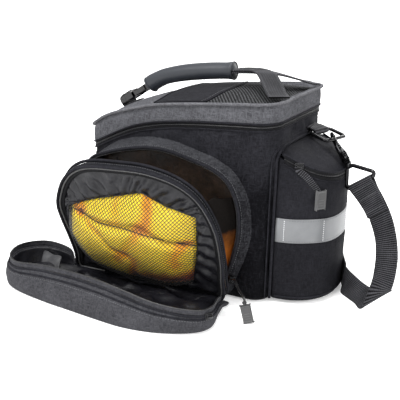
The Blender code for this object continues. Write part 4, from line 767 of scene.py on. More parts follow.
def place_camera():
    azimuth, elevation, roll = math.radians(26.3), math.radians(16.44), math.radians(1.89)
    looks_at = Vector((0, 0, 0.110))
    distance, focal_pixels = 1.2354, 933.6
    frame_pixels, centre_x, centre_y = 400, 202.3, 186.2
    back = Vector((math.sin(azimuth) * math.cos(elevation),
                   -math.cos(azimuth) * math.cos(elevation), math.sin(elevation)))
    level = Vector((math.cos(azimuth), math.sin(azimuth), 0))
    upright = back.cross(level)
    right = level * math.cos(roll) + upright * math.sin(roll)
    up = upright * math.cos(roll) - level * math.sin(roll)
    camera = bpy.data.objects.new("camera", bpy.data.cameras.new("camera"))
    bpy.context.scene.collection.objects.link(camera)
    turn = Matrix((right, up, back)).transposed().to_4x4()
    camera.matrix_world = Matrix.Translation(looks_at + back * distance) @ turn
    camera.data.lens = focal_pixels / frame_pixels * camera.data.sensor_width
    camera.data.shift_x = (frame_pixels / 2 - centre_x) / frame_pixels
    camera.data.shift_y = (centre_y - frame_pixels / 2) / frame_pixels
    bpy.context.scene.camera = camera


# Lamps by name: place, size and power, and the point that they all face
LIGHTS = {
    "key_light": ((-0.7, -1.2, 1.9), 0.9, 46), "rear_light": ((1.7, -0.5, 1.1), 0.8, 20),
    "far_side_light": ((0.3, 2.0, 0.9), 1.2, 22), "low_fill_light": ((-0.25, -1.7, 0.45), 0.9, 12),
    "top_light": ((0.1, 0.3, 2.0), 1.2, 34),
}
LIT_POINT = Vector((0, 0, 0.1))
WORLD_STRENGTH = 0.85
FLOOR_RADIUS = 6.0
FLOOR_GLOW = 0.35


def place_studio():
    bpy.context.scene.view_settings.view_transform = "Standard"
    for name, (where, size, power) in LIGHTS.items():
        light = bpy.data.lights.new(name, "AREA")
        light.shape = "DISK"
        light.size = size
        light.energy = power
        obj = bpy.data.objects.new(name, light)
        bpy.context.scene.collection.objects.link(obj)
        obj.location = where
        obj.rotation_euler = (LIT_POINT - Vector(where)).to_track_quat("-Z", "Y").to_euler()
    world = bpy.data.worlds.new("studio")
    bpy.context.scene.world = world
    world.use_nodes = True
    sky = world.node_tree.nodes["Background"].inputs
    sky["Color"].default_value = (1, 1, 1, 1)
    sky["Strength"].default_value = WORLD_STRENGTH
    shape = bmesh.new()
    bmesh.ops.create_circle(shape, cap_ends=True, radius=FLOOR_RADIUS, segments=64)
    floor = finish_mesh("floor", shape)
    look = Look("pale_floor", 0.6)
    look.paint(look.noise(400.0, 2.0), (0.86, 0.86, 0.86), (0.90, 0.90, 0.90))
    look.shader.inputs["Emission Color"].default_value = (1, 1, 1, 1)
    look.shader.inputs["Emission Strength"].default_value = FLOOR_GLOW
    floor.data.materials.append(look.material)


# Main form

def eased(column):
    """A column of the side view as a smooth function of the place along the bag."""
    places = np.linspace(-1, 1, 201)
    values = np.interp(places, SIDE_VIEW["along"], SIDE_VIEW[column])
    wide = np.pad(values, 10, mode="reflect", reflect_type="odd")
    soft = np.convolve(wide, np.ones(21) / 21, "valid")
    return lambda x: float(np.interp(x / HALF, places, soft))


RIM = eased("rim")
LID_EDGE = eased("lid_edge")
BODY_TOP = eased("body_top")
WIDTH_SHARE = eased("half_width")


def half_width(x):
    return WIDTH_SHARE(x) * SIDE


def height_of(share):
    return lambda x: share(x) * BAG_HEIGHT


def arc(centre, radius, start, end, steps):
    turns = [math.radians(start + (end - start) * step / steps) for step in range(steps + 1)]
    return [centre + Vector((math.cos(a), math.sin(a))) * radius for a in turns]


def plan():
    """The body's plan, anticlockwise from the front, evenly spaced."""
    front = Vector((-HALF + FRONT_CORNER, -(half_width(-HALF) - FRONT_CORNER)))
    rear = Vector((HALF - REAR_CORNER, -(SIDE - REAR_CORNER)))
    left = arc(front, FRONT_CORNER, 180, 262, 8)
    for step in range(1, 24):
        x = front.x + (rear.x - front.x) * step / 24
        left.append(Vector((x, -half_width(x))))
    left += arc(rear, REAR_CORNER, 270, 360, 10)
    right = [Vector((p.x, -p.y)) for p in reversed(left)]
    return resample(left + right, PLAN_SPACING, closed=True)


PLAN = plan()


def ring(offset, height):
    """The plan moved outward by an offset that may be a function of the point, stood at a height."""
    moves = [offset(p) if callable(offset) else offset for p in PLAN]
    return [Vector((q.x, q.y, height(p.x))) for p, q in zip(PLAN, grow(PLAN, moves))]


def padded_wall(p, share):
    """How far a padded wall swells: most in the middle of a face, nothing at its seams."""
    high = math.sin(math.pi * min(1.0, max(0.0, share))) ** 0.6
    side = abs(p.y) / half_width(p.x)
    on_side = smooth_step(0.86, 0.97, side) * (1 - abs(p.x / HALF) ** 4)
    on_end = (1 - smooth_step(0.55, 0.95, side)) * smooth_step(0.9, 1.0, abs(p.x) / HALF)
    return high * (1.6 * MM * on_side + 1.2 * MM * on_end)


def build_body():
    rows = [ring(-BASE_ROUND * share, lambda x, up=up: up) for share, up in
            ((1.6, 0.0), (1.0, 0.0), (0.55, 0.0012), (0.25, 0.0036), (0.07, 0.0068))]
    steps = 44
    for step in range(steps + 1):
        share = step / steps
        level = lambda x, s=share: BASE_ROUND + s * (BODY_TOP(x) * BAG_HEIGHT - BASE_ROUND)
        rows.append(ring(lambda p, s=share: padded_wall(p, s), level))
    rows.append(ring(-0.004, height_of(BODY_TOP)))
    body = surface("body_shell", rows, wrap=True, caps=True)
    behind_pocket = lambda co: (abs(co.y) > SIDE - 0.012 and abs(co.x - FRAME_X) < 0.54 * FRAME_LENGTH
                                and co.z < FRAME_Z + FRAME_HEIGHT + 0.008)
    puff(body, 1.8 * MM, lambda co: (co.z < 4 * MM or co.z > BODY_TOP(co.x) * BAG_HEIGHT - 4 * MM
                                     or behind_pocket(co)))
    top = height_of(BODY_TOP)
    calm = lambda co: smooth_step(0.0, 0.02, co.z) * smooth_step(0, 0.03, top(co.x) - co.z)
    crease(body, 0.9 * MM, 0.045, (1.6, 1.6, 0.5), 3.1, calm)
    dress(body, BODY_CLOTH, "fabric", "main_body")


def lid_top(x, y):
    across = min(abs(y) / half_width(x), 1.0)
    along = min(abs(x) / HALF, 1.0)
    return RIM(x) * BAG_HEIGHT + LID_DOME * (1 - across ** 2) * (1 - along ** 4)


def rim_valley(x, y):
    """Hollow just inside the rim, deepest at the rear, where the padded top sits lower."""
    across = abs(y) / half_width(x)
    near = max(across, abs(x) / HALF) if x > 0 else across
    depth = 2.0 * MM + 4.5 * MM * smooth_step(0.0, 0.9, x / HALF)
    return depth * smooth_step(1.0, 0.93, near) * smooth_step(0.45, 0.92, near)


def on_lid(x, y, lift=0.0):
    return Vector((x, y, lid_top(x, y) - rim_valley(x, y) + lift))


def lid_ring(share):
    inner = ring(LID_OVERHANG - LID_ROUND, lambda x: 0.0)
    return [on_lid(p.x * (0.25 + 0.75 * share), p.y * share) for p in inner]


def build_lid():
    shoulder = lambda x: RIM(x) * BAG_HEIGHT - LID_ROUND
    edge = height_of(LID_EDGE)
    rows = [lid_ring(share) for share in (0, 0.08, 0.17, 0.26, 0.35, 0.44, 0.53, 0.61, 0.69, 0.76,
                                          0.82, 0.87, 0.91, 0.94, 0.97, 1.0)]
    rows.append(ring(LID_OVERHANG - 0.3 * LID_ROUND, lambda x: RIM(x) * BAG_HEIGHT - 0.3 * LID_ROUND))
    for step in range(11):
        share = step / 10
        swell = LID_OVERHANG + 1.1 * MM * math.sin(math.pi * share) ** 0.7
        rows.append(ring(swell, lambda x, s=share: shoulder(x) + (edge(x) - shoulder(x)) * s))
    rows.append(ring(LID_OVERHANG - 3 * MM, edge))
    rows.append(ring(LID_OVERHANG - 12 * MM, edge))
    lid = surface("lid_shell", rows, wrap=True)
    crease(lid, 0.55 * MM, 0.040, (1, 1, 1), 7.7)
    dress(lid, LIGHT_CLOTH, "fabric", "lid")
    rim = ring(LID_OVERHANG + PIPING, lambda x: RIM(x) * BAG_HEIGHT - 0.3 * LID_ROUND)
    dress(tube("lid_rim_piping", rim, PIPING, closed=True), RIM_CLOTH, "fabric", "lid_piping")
    seam = ring(LID_OVERHANG + 0.6 * MM, lambda x: edge(x) + 4 * MM)
    sewn("lid_edge_stitches", seam, plan_outward, closed=True)


def plan_outward(point):
    """Level direction away from the bag's middle at a point of its wall."""
    share = abs(point.y) / half_width(point.x)
    if abs(point.x) > HALF - REAR_CORNER and share < 0.8:
        return Vector((math.copysign(1, point.x), 0, 0))
    return Vector((0, math.copysign(1, point.y), 0))


def build_lid_zip():
    """Zip between body and lid: two tapes, the coil between them and a rolled edge on each side."""
    low = height_of(BODY_TOP)
    high = height_of(LID_EDGE)
    at = lambda share: (lambda x: low(x) + share * (high(x) - low(x)))
    profile = ((-3.0, -0.02), (0.8, -0.02), (1.9, 0.10), (1.9, 0.30), (0.9, 0.42), (0.9, 0.58),
               (1.9, 0.70), (2.4, 0.92), (1.0, 1.04), (-3.0, 1.04))
    rows = [ring(out * MM, at(share)) for out, share in profile]
    tape = surface("lid_zip_tape", rows, wrap=True, loop=True)
    dress(tape, ZIP_TAPE, "zip_tape", "lid_zipper")
    coil("lid_zip_coil", ring(1.2 * MM, at(0.5)), 1.0 * MM, closed=True)
    for name, share, out in (("lid_zip_edge_low", -0.06, 1.6), ("lid_zip_edge_high", 1.0, 2.9)):
        piping(name, ring(out * MM, at(share)), 1.0 * MM, sides=8, closed=True)


def strip_edge(y):
    """Arched seam between the smooth strip and the air mesh."""
    return HALF * (0.36 - 0.14 * (y / SIDE) ** 2 - 0.05 * y / SIDE)


def wall_x(y, inset=0.0):
    """Where the rear wall stands at a distance from the middle, or a line inside it by an inset."""
    beyond = max(abs(y) - (SIDE - REAR_CORNER), 0.0)
    return HALF - REAR_CORNER + math.sqrt(max((REAR_CORNER - inset) ** 2 - beyond ** 2, 0.0))


def build_lid_patches():
    across = 0.93 * SIDE
    front = lambda y: HALF * (-0.20 + 0.06 * y / SIDE)
    rear_limit = lambda y: wall_x(y, 4 * MM)
    for name, start, end, columns, look, slot, node in (
            ("lid_strip_cloth", front, strip_edge, 26, SMOOTH_CLOTH, "lighter_fabric", "lid_strip"),
            ("lid_mesh_cloth", strip_edge, rear_limit, 90, AIR_MESH, "air_mesh", "lid_mesh")):
        rows = []
        for column in range(columns + 1):
            row = []
            for step in range(101):
                y = across * (step / 50 - 1)
                y = max(-0.95 * half_width(start(y)), min(0.95 * half_width(start(y)), y))
                share = column / columns
                x = start(y) + (end(y) - start(y)) * share
                edge = min(share, 1 - share, step / 100, 1 - step / 100)
                lift = 1.6 * MM * smooth_step(0, 0.03, edge)
                if node == "lid_mesh":
                    slant = (x * SLANT[0] + y * SLANT[1]) / SLANT[2]
                    lift -= 0.85 * MM * math.cos(2 * math.pi * slant) * smooth_step(0, 0.05, edge)
                row.append(on_lid(x, y, lift + 0.2 * MM))
            rows.append(row)
        patch = surface(name, rows, sharp=80)
        thicken(patch, 0.8 * MM, 1.0 if patch.data.polygons[0].normal.z < 0 else -1.0)
        dress(patch, look, slot, node)
    for name, line in (("strip_front_seam", front), ("strip_rear_seam", strip_edge)):
        points = [on_lid(line(y), y, 2.3 * MM) for y in np.linspace(-across, across, 40)
                  if abs(y) < 0.95 * half_width(line(y))]
        piping(name + "_piping", points, 1.1 * MM, sides=8)
        away = [p - Vector((4 * MM, 0, -0.4 * MM)) for p in points]
        sewn(name + "_stitches", away, lambda p: UP)


# Rear pocket

def rear_point(turn, offset=0.0):
    """A point of the pocket's D-shaped plan, turn running from -90 to 90 degrees."""
    c = abs(math.cos(turn)) ** (2 / REAR_POWER)
    s = abs(math.sin(turn)) ** (2 / REAR_POWER)
    return Vector((HALF + (REAR_DEPTH + offset) * c,
                   math.copysign((REAR_WIDTH / 2 + offset) * s, turn)))


def rear_outward(turn):
    ahead = (rear_point(turn + 0.01) - rear_point(turn - 0.01)).normalized()
    return Vector((ahead.y, -ahead.x, 0))


def rear_turns(steps, limit):
    return [math.radians(limit * (2 * step / steps - 1)) for step in range(steps + 1)]


def zip_height(x):
    share = max(0.0, min(1.0, (x - HALF) / REAR_DEPTH))
    return REAR_ZIP_HIGH - (REAR_ZIP_HIGH - REAR_ZIP_LOW) * share


def on_rear(turn, level, offset=0.0):
    p = rear_point(turn, offset)
    return Vector((p.x, p.y, level(p.x) if callable(level) else level))


def rear_ring(level, share=1.0, swell=0.0):
    points = []
    for turn in rear_turns(64, 88.0):
        p = rear_point(turn, swell)
        points.append(Vector((p.x, p.y)))
    wide = points[-1].y
    back = [Vector((wall_x(y) + GAP, y)) for y in np.linspace(0.97 * wide, -0.97 * wide, 22)]
    ring_points = []
    for p in points + back:
        x = HALF + (p.x - HALF) * share
        z = level(p.x) if callable(level) else level
        ring_points.append(Vector((x, p.y * share, z)))
    return ring_points


def build_rear_pocket():
    top = lambda x: zip_height(x) - ZIP_COIL - GAP
    rows = [rear_ring(2.0 * MM, 0.5), rear_ring(2.0 * MM, 0.80), rear_ring(2.2 * MM, 0.90),
            rear_ring(3.6 * MM, 0.955), rear_ring(6.4 * MM, 0.985)]
    steps = 34
    for step in range(steps + 1):
        share = step / steps
        level = lambda x, s=share: 10 * MM + s * (top(x) - 10 * MM)
        rows.append(rear_ring(level, 1.0, 1.0 * MM * math.sin(math.pi * share)))
    rows.append(rear_ring(top, 0.95))
    pocket = surface("rear_pocket_shell", rows, wrap=True, caps=True)
    banded = lambda co: BAND_BOTTOM - 3 * MM < co.z < BAND_BOTTOM + BAND_HEIGHT + 3 * MM
    fixed = lambda co: co.x < HALF + 5 * MM or co.z < 4 * MM or co.z > top(co.x) - 5 * MM or banded(co)
    puff(pocket, 1.4 * MM, fixed)
    calm = lambda co: (smooth_step(HALF + 4 * MM, HALF + 20 * MM, co.x) * smooth_step(0, 0.02, co.z)
                       * (0.35 if banded(co) else 1.0))
    crease(pocket, 0.8 * MM, 0.040, (1.4, 1.4, 0.6), 5.3, calm)
    dress(pocket, POCKET_CLOTH, "fabric", "rear_pocket")
    hem = [on_rear(turn, 9 * MM, 1.2 * MM) for turn in rear_turns(80, 86)]
    piping("rear_pocket_foot_piping", hem, 1.1 * MM, sides=8)


def dome_point(turn, inward):
    """A point of the domed top: inward is 0 at the zip and 1 at the body's wall."""
    edge = rear_point(turn)
    run = 1 - inward
    y = edge.y * (1 - 0.10 * inward)
    start = wall_x(y) + 4 * GAP
    x = start + (edge.x - start) * run if edge.x > start else start
    low = zip_height(edge.x) + ZIP_COIL + 0.0022
    fall = (abs(edge.y) / (REAR_WIDTH / 2)) ** 6
    high = REAR_ARCH - 0.006 * fall
    return Vector((x, y, high - (high - low) * run ** DOME_POWER))


def build_rear_lid():
    rows = [[dome_point(turn, step / 22) for turn in rear_turns(70, 84.0)] for step in range(23)]
    dome = surface("rear_pocket_dome", rows)
    thicken(dome, 1.8 * MM, -1.0)
    soft = lambda co: smooth_step(0, 0.012, co.z - zip_height(co.x)) * smooth_step(0, 0.02, co.x - HALF)
    crease(dome, 1.1 * MM, 0.030, (1, 1, 1), 2.2, soft)
    dress(dome, POCKET_CLOTH, "fabric", "rear_pocket_lid")
    turns = rear_turns(90, 84.0)
    line = [on_rear(turn, zip_height, -0.4 * MM) for turn in turns]
    coil("rear_zip_coil", line, 1.3 * MM, "rear_pocket_zipper")
    for name, shift in (("rear_zip_tape_low", -3.2), ("rear_zip_tape_high", 3.4)):
        tape = [on_rear(turn, lambda x: zip_height(x) + shift * MM, 0.5 * MM) for turn in turns]
        dress(strip(name, tape, [UP] * len(tape), 4.6 * MM, 0.9 * MM), ZIP_TAPE, "zip_tape")
    for name, shift in (("rear_zip_edge_low", -5.8), ("rear_zip_edge_high", 5.4)):
        edge = [on_rear(turn, lambda x: zip_height(x) + shift * MM, 0.7 * MM) for turn in turns]
        piping(name, edge, 0.9 * MM, sides=8)


def root_line(out, radius):
    """Up one side of the pocket's root, over its arch and down again, on the body's wall."""
    side = REAR_WIDTH / 2 + out
    top = REAR_ARCH + out
    bend = 16 * MM + out
    half = [(side, 5 * MM + z * (top - bend) / 12) for z in range(12)]
    half += [(side - bend + bend * math.cos(math.radians(a)),
              top - bend + bend * math.sin(math.radians(a))) for a in range(0, 91, 10)]
    half += [(y * (side - bend) / 8, top) for y in range(7, 0, -1)]
    path = half + [(0.0, top)] + [(-y, z) for y, z in reversed(half)]
    line = [Vector((wall_x(y) + radius + GAP, y, z)) for y, z in path if z < top + 1]
    return resample(line, 3 * MM)


def build_rear_piping():
    piping("rear_root_piping", root_line(2.6 * MM, PIPING), PIPING, "rear_pocket_piping", guide=ALONG)
    piping("rear_root_seam", root_line(8.0 * MM, 0.8 * MM), 0.9 * MM, sides=8, guide=ALONG)


# Places of the seams across the band, in degrees round the pocket
BAND_STITCH_TURNS = (-80, -34, 8, 42, 80)


def build_band():
    rows = []
    heights = (0, 0.012, 0.05, 0.15, 0.3, 0.5, 0.7, 0.85, 0.95, 0.988, 1)
    for turn in rear_turns(110, 88.0):
        sway = 0.5 * MM * math.sin(5 * turn)
        rows.append([on_rear(turn, BAND_BOTTOM + BAND_HEIGHT * up + sway,
                             (1.5 + 0.5 * math.sin(math.pi * up) ** 0.5) * MM) for up in heights])
    band = surface("reflective_band_tape", rows)
    thicken(band, 0.9 * MM, 0.0)
    dress(band, TAPE, "reflective", "reflective_band")
    parts = []
    for degrees in BAND_STITCH_TURNS:
        turn = math.radians(degrees)
        line = [on_rear(turn, BAND_BOTTOM + BAND_HEIGHT * s, 2.5 * MM) for s in (0.06, 0.94)]
        out = rear_outward(turn)
        parts.append(stitches("part", line, lambda p, out=out: out, 2.6 * MM, 1.7 * MM, 0.7 * MM))
    dress(joined("band_cross_stitches", *parts), PALE_THREAD, "reflective")
    parts = []
    for up in (0.07, 0.93):
        line = [on_rear(turn, BAND_BOTTOM + BAND_HEIGHT * up, 2.1 * MM) for turn in rear_turns(90, 86)]
        parts.append(stitches("part", line, lambda p: unit(p.x - HALF, p.y, 0)))
    dress(joined("band_edge_stitches", *parts), THREAD, "reflective")


# Open side pocket

def loop_of(table, half_length, height, offset, spread):
    """A smooth outline with its third column as an extra spread."""
    rows = curve_through([Vector(row) for row in table], 6)
    flat = [Vector((row[0] * half_length, max(row[1], 0.0) * height)) for row in rows]
    return grow(flat, [offset + spread * row[2] for row in rows])


def frame_loop(offset, spread=0.0):
    return loop_of(FRAME_OUTLINE, FRAME_LENGTH / 2, FRAME_HEIGHT, offset, spread)


def on_side(points, depth):
    return [Vector((p.x + FRAME_X, -depth, p.y + FRAME_Z)) for p in points]


def on_wall(points, extra):
    return [Vector((p.x + FRAME_X, -(half_width(p.x + FRAME_X) + extra), p.y + FRAME_Z)) for p in points]


# Points at the end of an outline that lie along the hinge
HINGE_POINTS = 18


def upright(line):
    """An outline without its run along the hinge."""
    return line[:len(line) - HINGE_POINTS]


def build_frame():
    steps = 6
    rows = []
    root = on_wall(frame_loop(0.0, FRAME_SPREAD), 0.8 * MM)
    face = on_side(frame_loop(0.0), FRAME_FACE)
    for step in range(steps + 1):
        share = step / steps
        bow = 1.2 * MM * math.sin(math.pi * share)
        rows.append([a.lerp(b, share) + Vector((0, -bow, 0)) for a, b in zip(root, face)])
    rows.append(on_side(frame_loop(-0.45 * FRAME_WALL), FRAME_FACE + 0.7 * MM))
    rows.append(on_side(frame_loop(-FRAME_WALL), FRAME_FACE))
    rows.append(on_wall(frame_loop(-FRAME_WALL, 0.5 * FRAME_SPREAD), 1.0 * MM))
    shell = surface("pocket_frame_cloth", rows, wrap=True, loop=True)
    crease(shell, 0.5 * MM, 0.03, seed=1.9)
    dress(shell, FRAME_CLOTH, "lighter_fabric", "pocket_frame")
    line = upright(on_side(frame_loop(-0.2 * MM), FRAME_FACE + PIPING))
    piping("pocket_frame_edge", line, PIPING, "pocket_frame_piping", slot="lining", guide=ACROSS)
    teeth = upright(on_side(frame_loop(-2.9 * MM), FRAME_FACE + 0.8 * MM))
    coil("pocket_frame_coil", teeth, 1.1 * MM, guide=ACROSS)
    seam = upright([a.lerp(b, 0.22) + Vector((0, -1.2 * MM, 0)) for a, b in zip(face, root)])
    sewn("pocket_frame_stitches", seam, lambda p: -ACROSS)


def build_pocket_lining():
    """Lining on the body's wall behind the opening, painted dark brown as the shade inside the pocket."""
    outline = frame_loop(-FRAME_WALL - 0.6 * MM)
    middle = Vector((0.0, 0.45 * FRAME_HEIGHT))
    rows = []
    for share in np.linspace(0, 1, 22):
        row = []
        for p in outline:
            q = middle.lerp(p, share)
            wave = 2.2 * MM * fold_noise(Vector((q.x, q.y, 0)), 0.035, (1.8, 0.7, 1), 4.4)
            depth = 2.6 * MM + wave * (1 - share ** 6)
            row.append(on_wall([q], depth)[0])
        rows.append(row)
    lining = surface("pocket_back_lining", rows, wrap=True)
    thicken(lining, 0.6 * MM)
    dress(lining, SHADED_LINING, "orange_lining")
    size, area = cut_to(frame_loop(0.0), 1.0)


def on_panel(along, up, depth):
    hinge = Vector((PANEL_X + along, HINGE_Y, FRAME_Z))
    return hinge + PANEL_UP * up + PANEL_OUT * depth


def panel_loop(offset, flare=0.0):
    return loop_of(PANEL_OUTLINE, PANEL_LENGTH / 2, PANEL_HEIGHT, offset, flare)


def panel_ring(offset, depth, flare=0.0):
    return [on_panel(p.x, p.y, depth) for p in panel_loop(offset, flare)]


def build_panel():
    rows = [panel_ring(-40 * MM, 0.6 * MM), panel_ring(-20 * MM, 0.3 * MM), panel_ring(-8 * MM, 0.0),
            panel_ring(-3 * MM, 0.0), panel_ring(-0.6 * MM, 0.8 * MM)]
    for share in np.linspace(0.0, 1.0, 7):
        swell = 0.8 * MM * math.sin(math.pi * share)
        rows.append(panel_ring(swell, 1.8 * MM + share * (PANEL_DEPTH - 1.8 * MM), PANEL_FLARE * share))
    rows += [panel_ring(-0.5 * PANEL_WALL, PANEL_DEPTH + 0.6 * MM, PANEL_FLARE),
             panel_ring(-PANEL_WALL, PANEL_DEPTH - 0.2 * MM, PANEL_FLARE),
             panel_ring(-PANEL_WALL - 0.5 * MM, 0.5 * PANEL_DEPTH, 0.5 * PANEL_FLARE),
             panel_ring(-PANEL_WALL - 1 * MM, PANEL_WALL), panel_ring(-20 * MM, PANEL_WALL),
             panel_ring(-40 * MM, PANEL_WALL)]
    panel = surface("pocket_panel_cloth", rows, wrap=True, loop=True)
    crease(panel, 0.7 * MM, 0.03, seed=6.1)
    dress(panel, BODY_CLOTH, "fabric", "pocket_panel")
    back = upright(panel_ring(PIPING + 0.4 * MM, 1.5 * MM))
    piping("panel_edge_piping", back, PIPING, "panel_piping", slot="lining", guide=PANEL_OUT)
    front = upright(panel_ring(-0.3 * MM, PANEL_DEPTH + 0.9 * MM, PANEL_FLARE))
    piping("panel_rim_binding", front, 1.7 * MM, guide=PANEL_OUT)
    teeth = upright(panel_ring(-3.6 * MM, PANEL_DEPTH - 0.2 * MM, PANEL_FLARE))
    dress(zip_coil("panel_zip_coil", teeth, 1.2 * MM, PANEL_OUT, 2.2 * MM), RUBBER, "zip_tape")
    tape = upright(panel_ring(-5.2 * MM, PANEL_DEPTH - 1.4 * MM, PANEL_FLARE))
    centre = on_panel(0, 0.4 * PANEL_HEIGHT, PANEL_DEPTH)
    inward = [(centre - p).normalized() for p in tape]
    dress(strip("panel_zip_tape", tape, inward, 8 * MM, 0.8 * MM), ZIP_TAPE, "zip_tape")
    seam = upright(panel_ring(1.0 * MM, 0.55 * PANEL_DEPTH, 0.55 * PANEL_FLARE))
    sewn("panel_wall_stitches", seam, lambda p: (p - centre).normalized())


def side_at(table, step):
    return points_at([step], [row[0] for row in table], [row[1:] for row in table])[0]


def window_point(u, v):
    """A point of the net's window on the panel's plane, blended from its four sides."""
    top, bottom = side_at(WINDOW_TOP, u), side_at(WINDOW_BOTTOM, u)
    front, rear = side_at(WINDOW_FRONT, v), side_at(WINDOW_REAR, v)
    corners = (side_at(WINDOW_BOTTOM, 0) * (1 - u) * (1 - v) + side_at(WINDOW_BOTTOM, 1) * u * (1 - v)
               + side_at(WINDOW_TOP, 0) * (1 - u) * v + side_at(WINDOW_TOP, 1) * u * v)
    share = bottom * (1 - v) + top * v + front * (1 - u) + rear * u - corners
    return Vector((share.x * PANEL_LENGTH / 2, share.y * PANEL_HEIGHT))


# Folds of the cover: where each runs, in window shares, then its width, depth and painted shade
COVER_FOLDS = (
    ((0.02, 0.95), (0.18, 0.85), (0.34, 0.76), (0.54, 0.70), (0.75, 0.67), (0.99, 0.57),
     0.026, 4.2 * MM, 0.25),
    ((0.14, 0.85), (0.25, 0.75), (0.35, 0.64), (0.45, 0.46), (0.56, 0.38), 0.022, 2.6 * MM, 0.35),
    ((0.66, 1.00), (0.68, 0.94), (0.70, 0.88), (0.70, 0.80), (0.69, 0.74), 0.045, 2.0 * MM, 0.60),
    ((0.44, 1.00), (0.45, 0.94), (0.47, 0.86), (0.48, 0.80), (0.49, 0.78), 0.045, 1.2 * MM, 0.35),
    ((0.63, 0.66), (0.60, 0.56), (0.56, 0.46), (0.52, 0.38), (0.47, 0.33), 0.045, 2.0 * MM, 0.45),
    ((0.60, 0.34), (0.59, 0.28), (0.57, 0.20), (0.56, 0.14), (0.55, 0.08), 0.036, 1.8 * MM, 0.60),
    ((0.92, 0.60), (0.90, 0.52), (0.88, 0.46), (0.87, 0.40), (0.88, 0.34), 0.050, 1.6 * MM, 0.60),
    ((0.60, 0.04), (0.70, 0.10), (0.80, 0.10), (0.90, 0.06), (1.00, 0.08), 0.075, 2.4 * MM, 1.15),
    ((0.03, 0.98), (0.10, 0.90), (0.16, 0.86), (0.20, 0.90), (0.10, 0.96), 0.030, 0.8 * MM, 0.55),
)


def fold_at(u, v, column=-2):
    """Depth of the cover's folds at a place of the window, or their painted shade with column -1."""
    total = 0.0
    for *line, width, depth, shade_share in COVER_FOLDS:
        near = 9.0
        for a, b in zip(line, line[1:]):
            ax, ay = a
            dx, dy = b[0] - ax, b[1] - ay
            t = max(0.0, min(1.0, ((u - ax) * dx + (v - ay) * dy) / (dx * dx + dy * dy)))
            near = min(near, math.hypot(u - ax - t * dx, 0.6 * (v - ay - t * dy)))
        total += (depth if column == -2 else shade_share) * math.exp(-(near / width) ** 2)
    return total


def bulge(u, v):
    low = 1 - (2 * v - 0.9) ** 2 / 1.21
    swell = NET_BULGE * max(0.0, 1 - (2 * u - 1) ** 4) * max(0.0, low) ** 0.75
    return swell - fold_at(u, v) * min(1.0, swell / (0.4 * NET_BULGE))


# Grid of the cover, and the net's yarn, cell, step along a thread and reach from the middle
WINDOW_GRID = (96, 64)
NET_RADIUS = 0.42 * MM
NET_CELL = 3.15 * MM
NET_STEP = 2.4 * MM
NET_REACH = 0.26


def build_window():
    """Packed cover, the net over it, its seam and the binding round it."""
    columns, rows_high = WINDOW_GRID
    shares = [[(i / columns, j / rows_high) for i in range(columns + 1)] for j in range(rows_high + 1)]
    field = [[Vector((*window_point(u, v), PANEL_DEPTH + bulge(u, v))) for u, v in row] for row in shares]
    cover_rows = []
    for j, row in enumerate(field):
        line = []
        for i, p in enumerate(row):
            edge = min(1.0, min(i, columns - i) / 9, min(j, rows_high - j) / 7)
            soft = 1.3 * MM * fold_noise(Vector((p.x, p.y, 0)), 0.016, (1.3, 0.7, 1), 8.0)
            line.append(on_panel(p.x, p.y, p.z - 1.5 * MM - 5 * MM * (1 - edge) - abs(soft)))
        cover_rows.append(line)
    cover = surface("rain_cover_cloth", cover_rows)
    shade_share = cover.data.attributes.new("fold_shade", "FLOAT", "POINT")
    for point, share in zip(shade_share.data, (share for row in shares for share in row)):
        point.value = fold_at(*share, -1)
    thicken(cover, 0.8 * MM, -1.0)
    dress(cover, COVER, "yellow_cover", "rain_cover")

    flat_verts = [p for row in field for p in row]
    wide = columns + 1
    faces = [(j * wide + i, j * wide + i + 1, (j + 1) * wide + i + 1, (j + 1) * wide + i)
             for j in range(rows_high) for i in range(columns)]
    height = BVHTree.FromPolygons(flat_verts, faces)

    def net_at(x, y, lift=0.0):
        hit = height.ray_cast(Vector((x, y, 1.0)), Vector((0, 0, -1)))[0]
        return None if hit is None else on_panel(x, y, hit.z + lift)

    shape = bmesh.new()
    steps = int(NET_REACH / NET_STEP)
    for slope in (1, -1):
        ahead = Vector((0.74, 0.673 * slope)).normalized()
        aside = Vector((-ahead.y, ahead.x))
        for thread in range(-60, 61):
            run = []
            for place in range(-steps, steps):
                flat = aside * thread * NET_CELL + ahead * place * NET_STEP + Vector((0.0, 0.07))
                point = net_at(flat.x, flat.y, 0.25 * MM * slope)
                if point is None:
                    add_thread(shape, run)
                    run = []
                else:
                    run.append(point)
            add_thread(shape, run)
    net = finish_mesh("pocket_net_threads", shape)
    dress(net, NET_YARN, "net", "pocket_net")

    seam = []
    for u, v in COVER_FOLDS[0][:6]:
        p = window_point(u, v)
        seam.append(on_panel(p.x, p.y, PANEL_DEPTH + bulge(u, v) + 0.8 * MM))
    seam = resample(curve_through(seam, 6, closed=False), 2.5 * MM)
    dress(tube("net_seam", seam, 0.55 * MM, 8, guide=PANEL_OUT), NET_YARN, "net")
    rim = [window_point(u, v) for u, v in window_edge(30)]
    rim = [on_panel(p.x, p.y, PANEL_DEPTH + 0.6 * MM) for p in rim]
    binding = tube("net_edge_binding", resample(rim, 3 * MM, True), 1.0 * MM, 8, True, PANEL_OUT)
    dress(binding, HEM_NYLON, "net")


def add_thread(shape, run):
    """One run of the net's yarn, left out where it is too short to show."""
    if len(run) < 3:
        return
    rows = tube_rows(run, [NET_RADIUS] * len(run), 4, False, PANEL_OUT)
    rings = [[shape.verts.new(p) for p in row] for row in rows]
    for low, high in zip(rings, rings[1:]):
        for k in range(4):
            n = (k + 1) % 4
            shape.faces.new((low[k], low[n], high[n], high[k]))
    shape.faces.new(list(reversed(rings[0])))
    shape.faces.new(rings[-1])


def window_edge(per_side):
    """Shares round the four sides of the window."""
    steps = [s / per_side for s in range(per_side)]
    return ([(s, 0.0) for s in steps] + [(1.0, s) for s in steps] + [(1 - s, 1.0) for s in steps]
            + [(0.0, 1 - s) for s in steps])


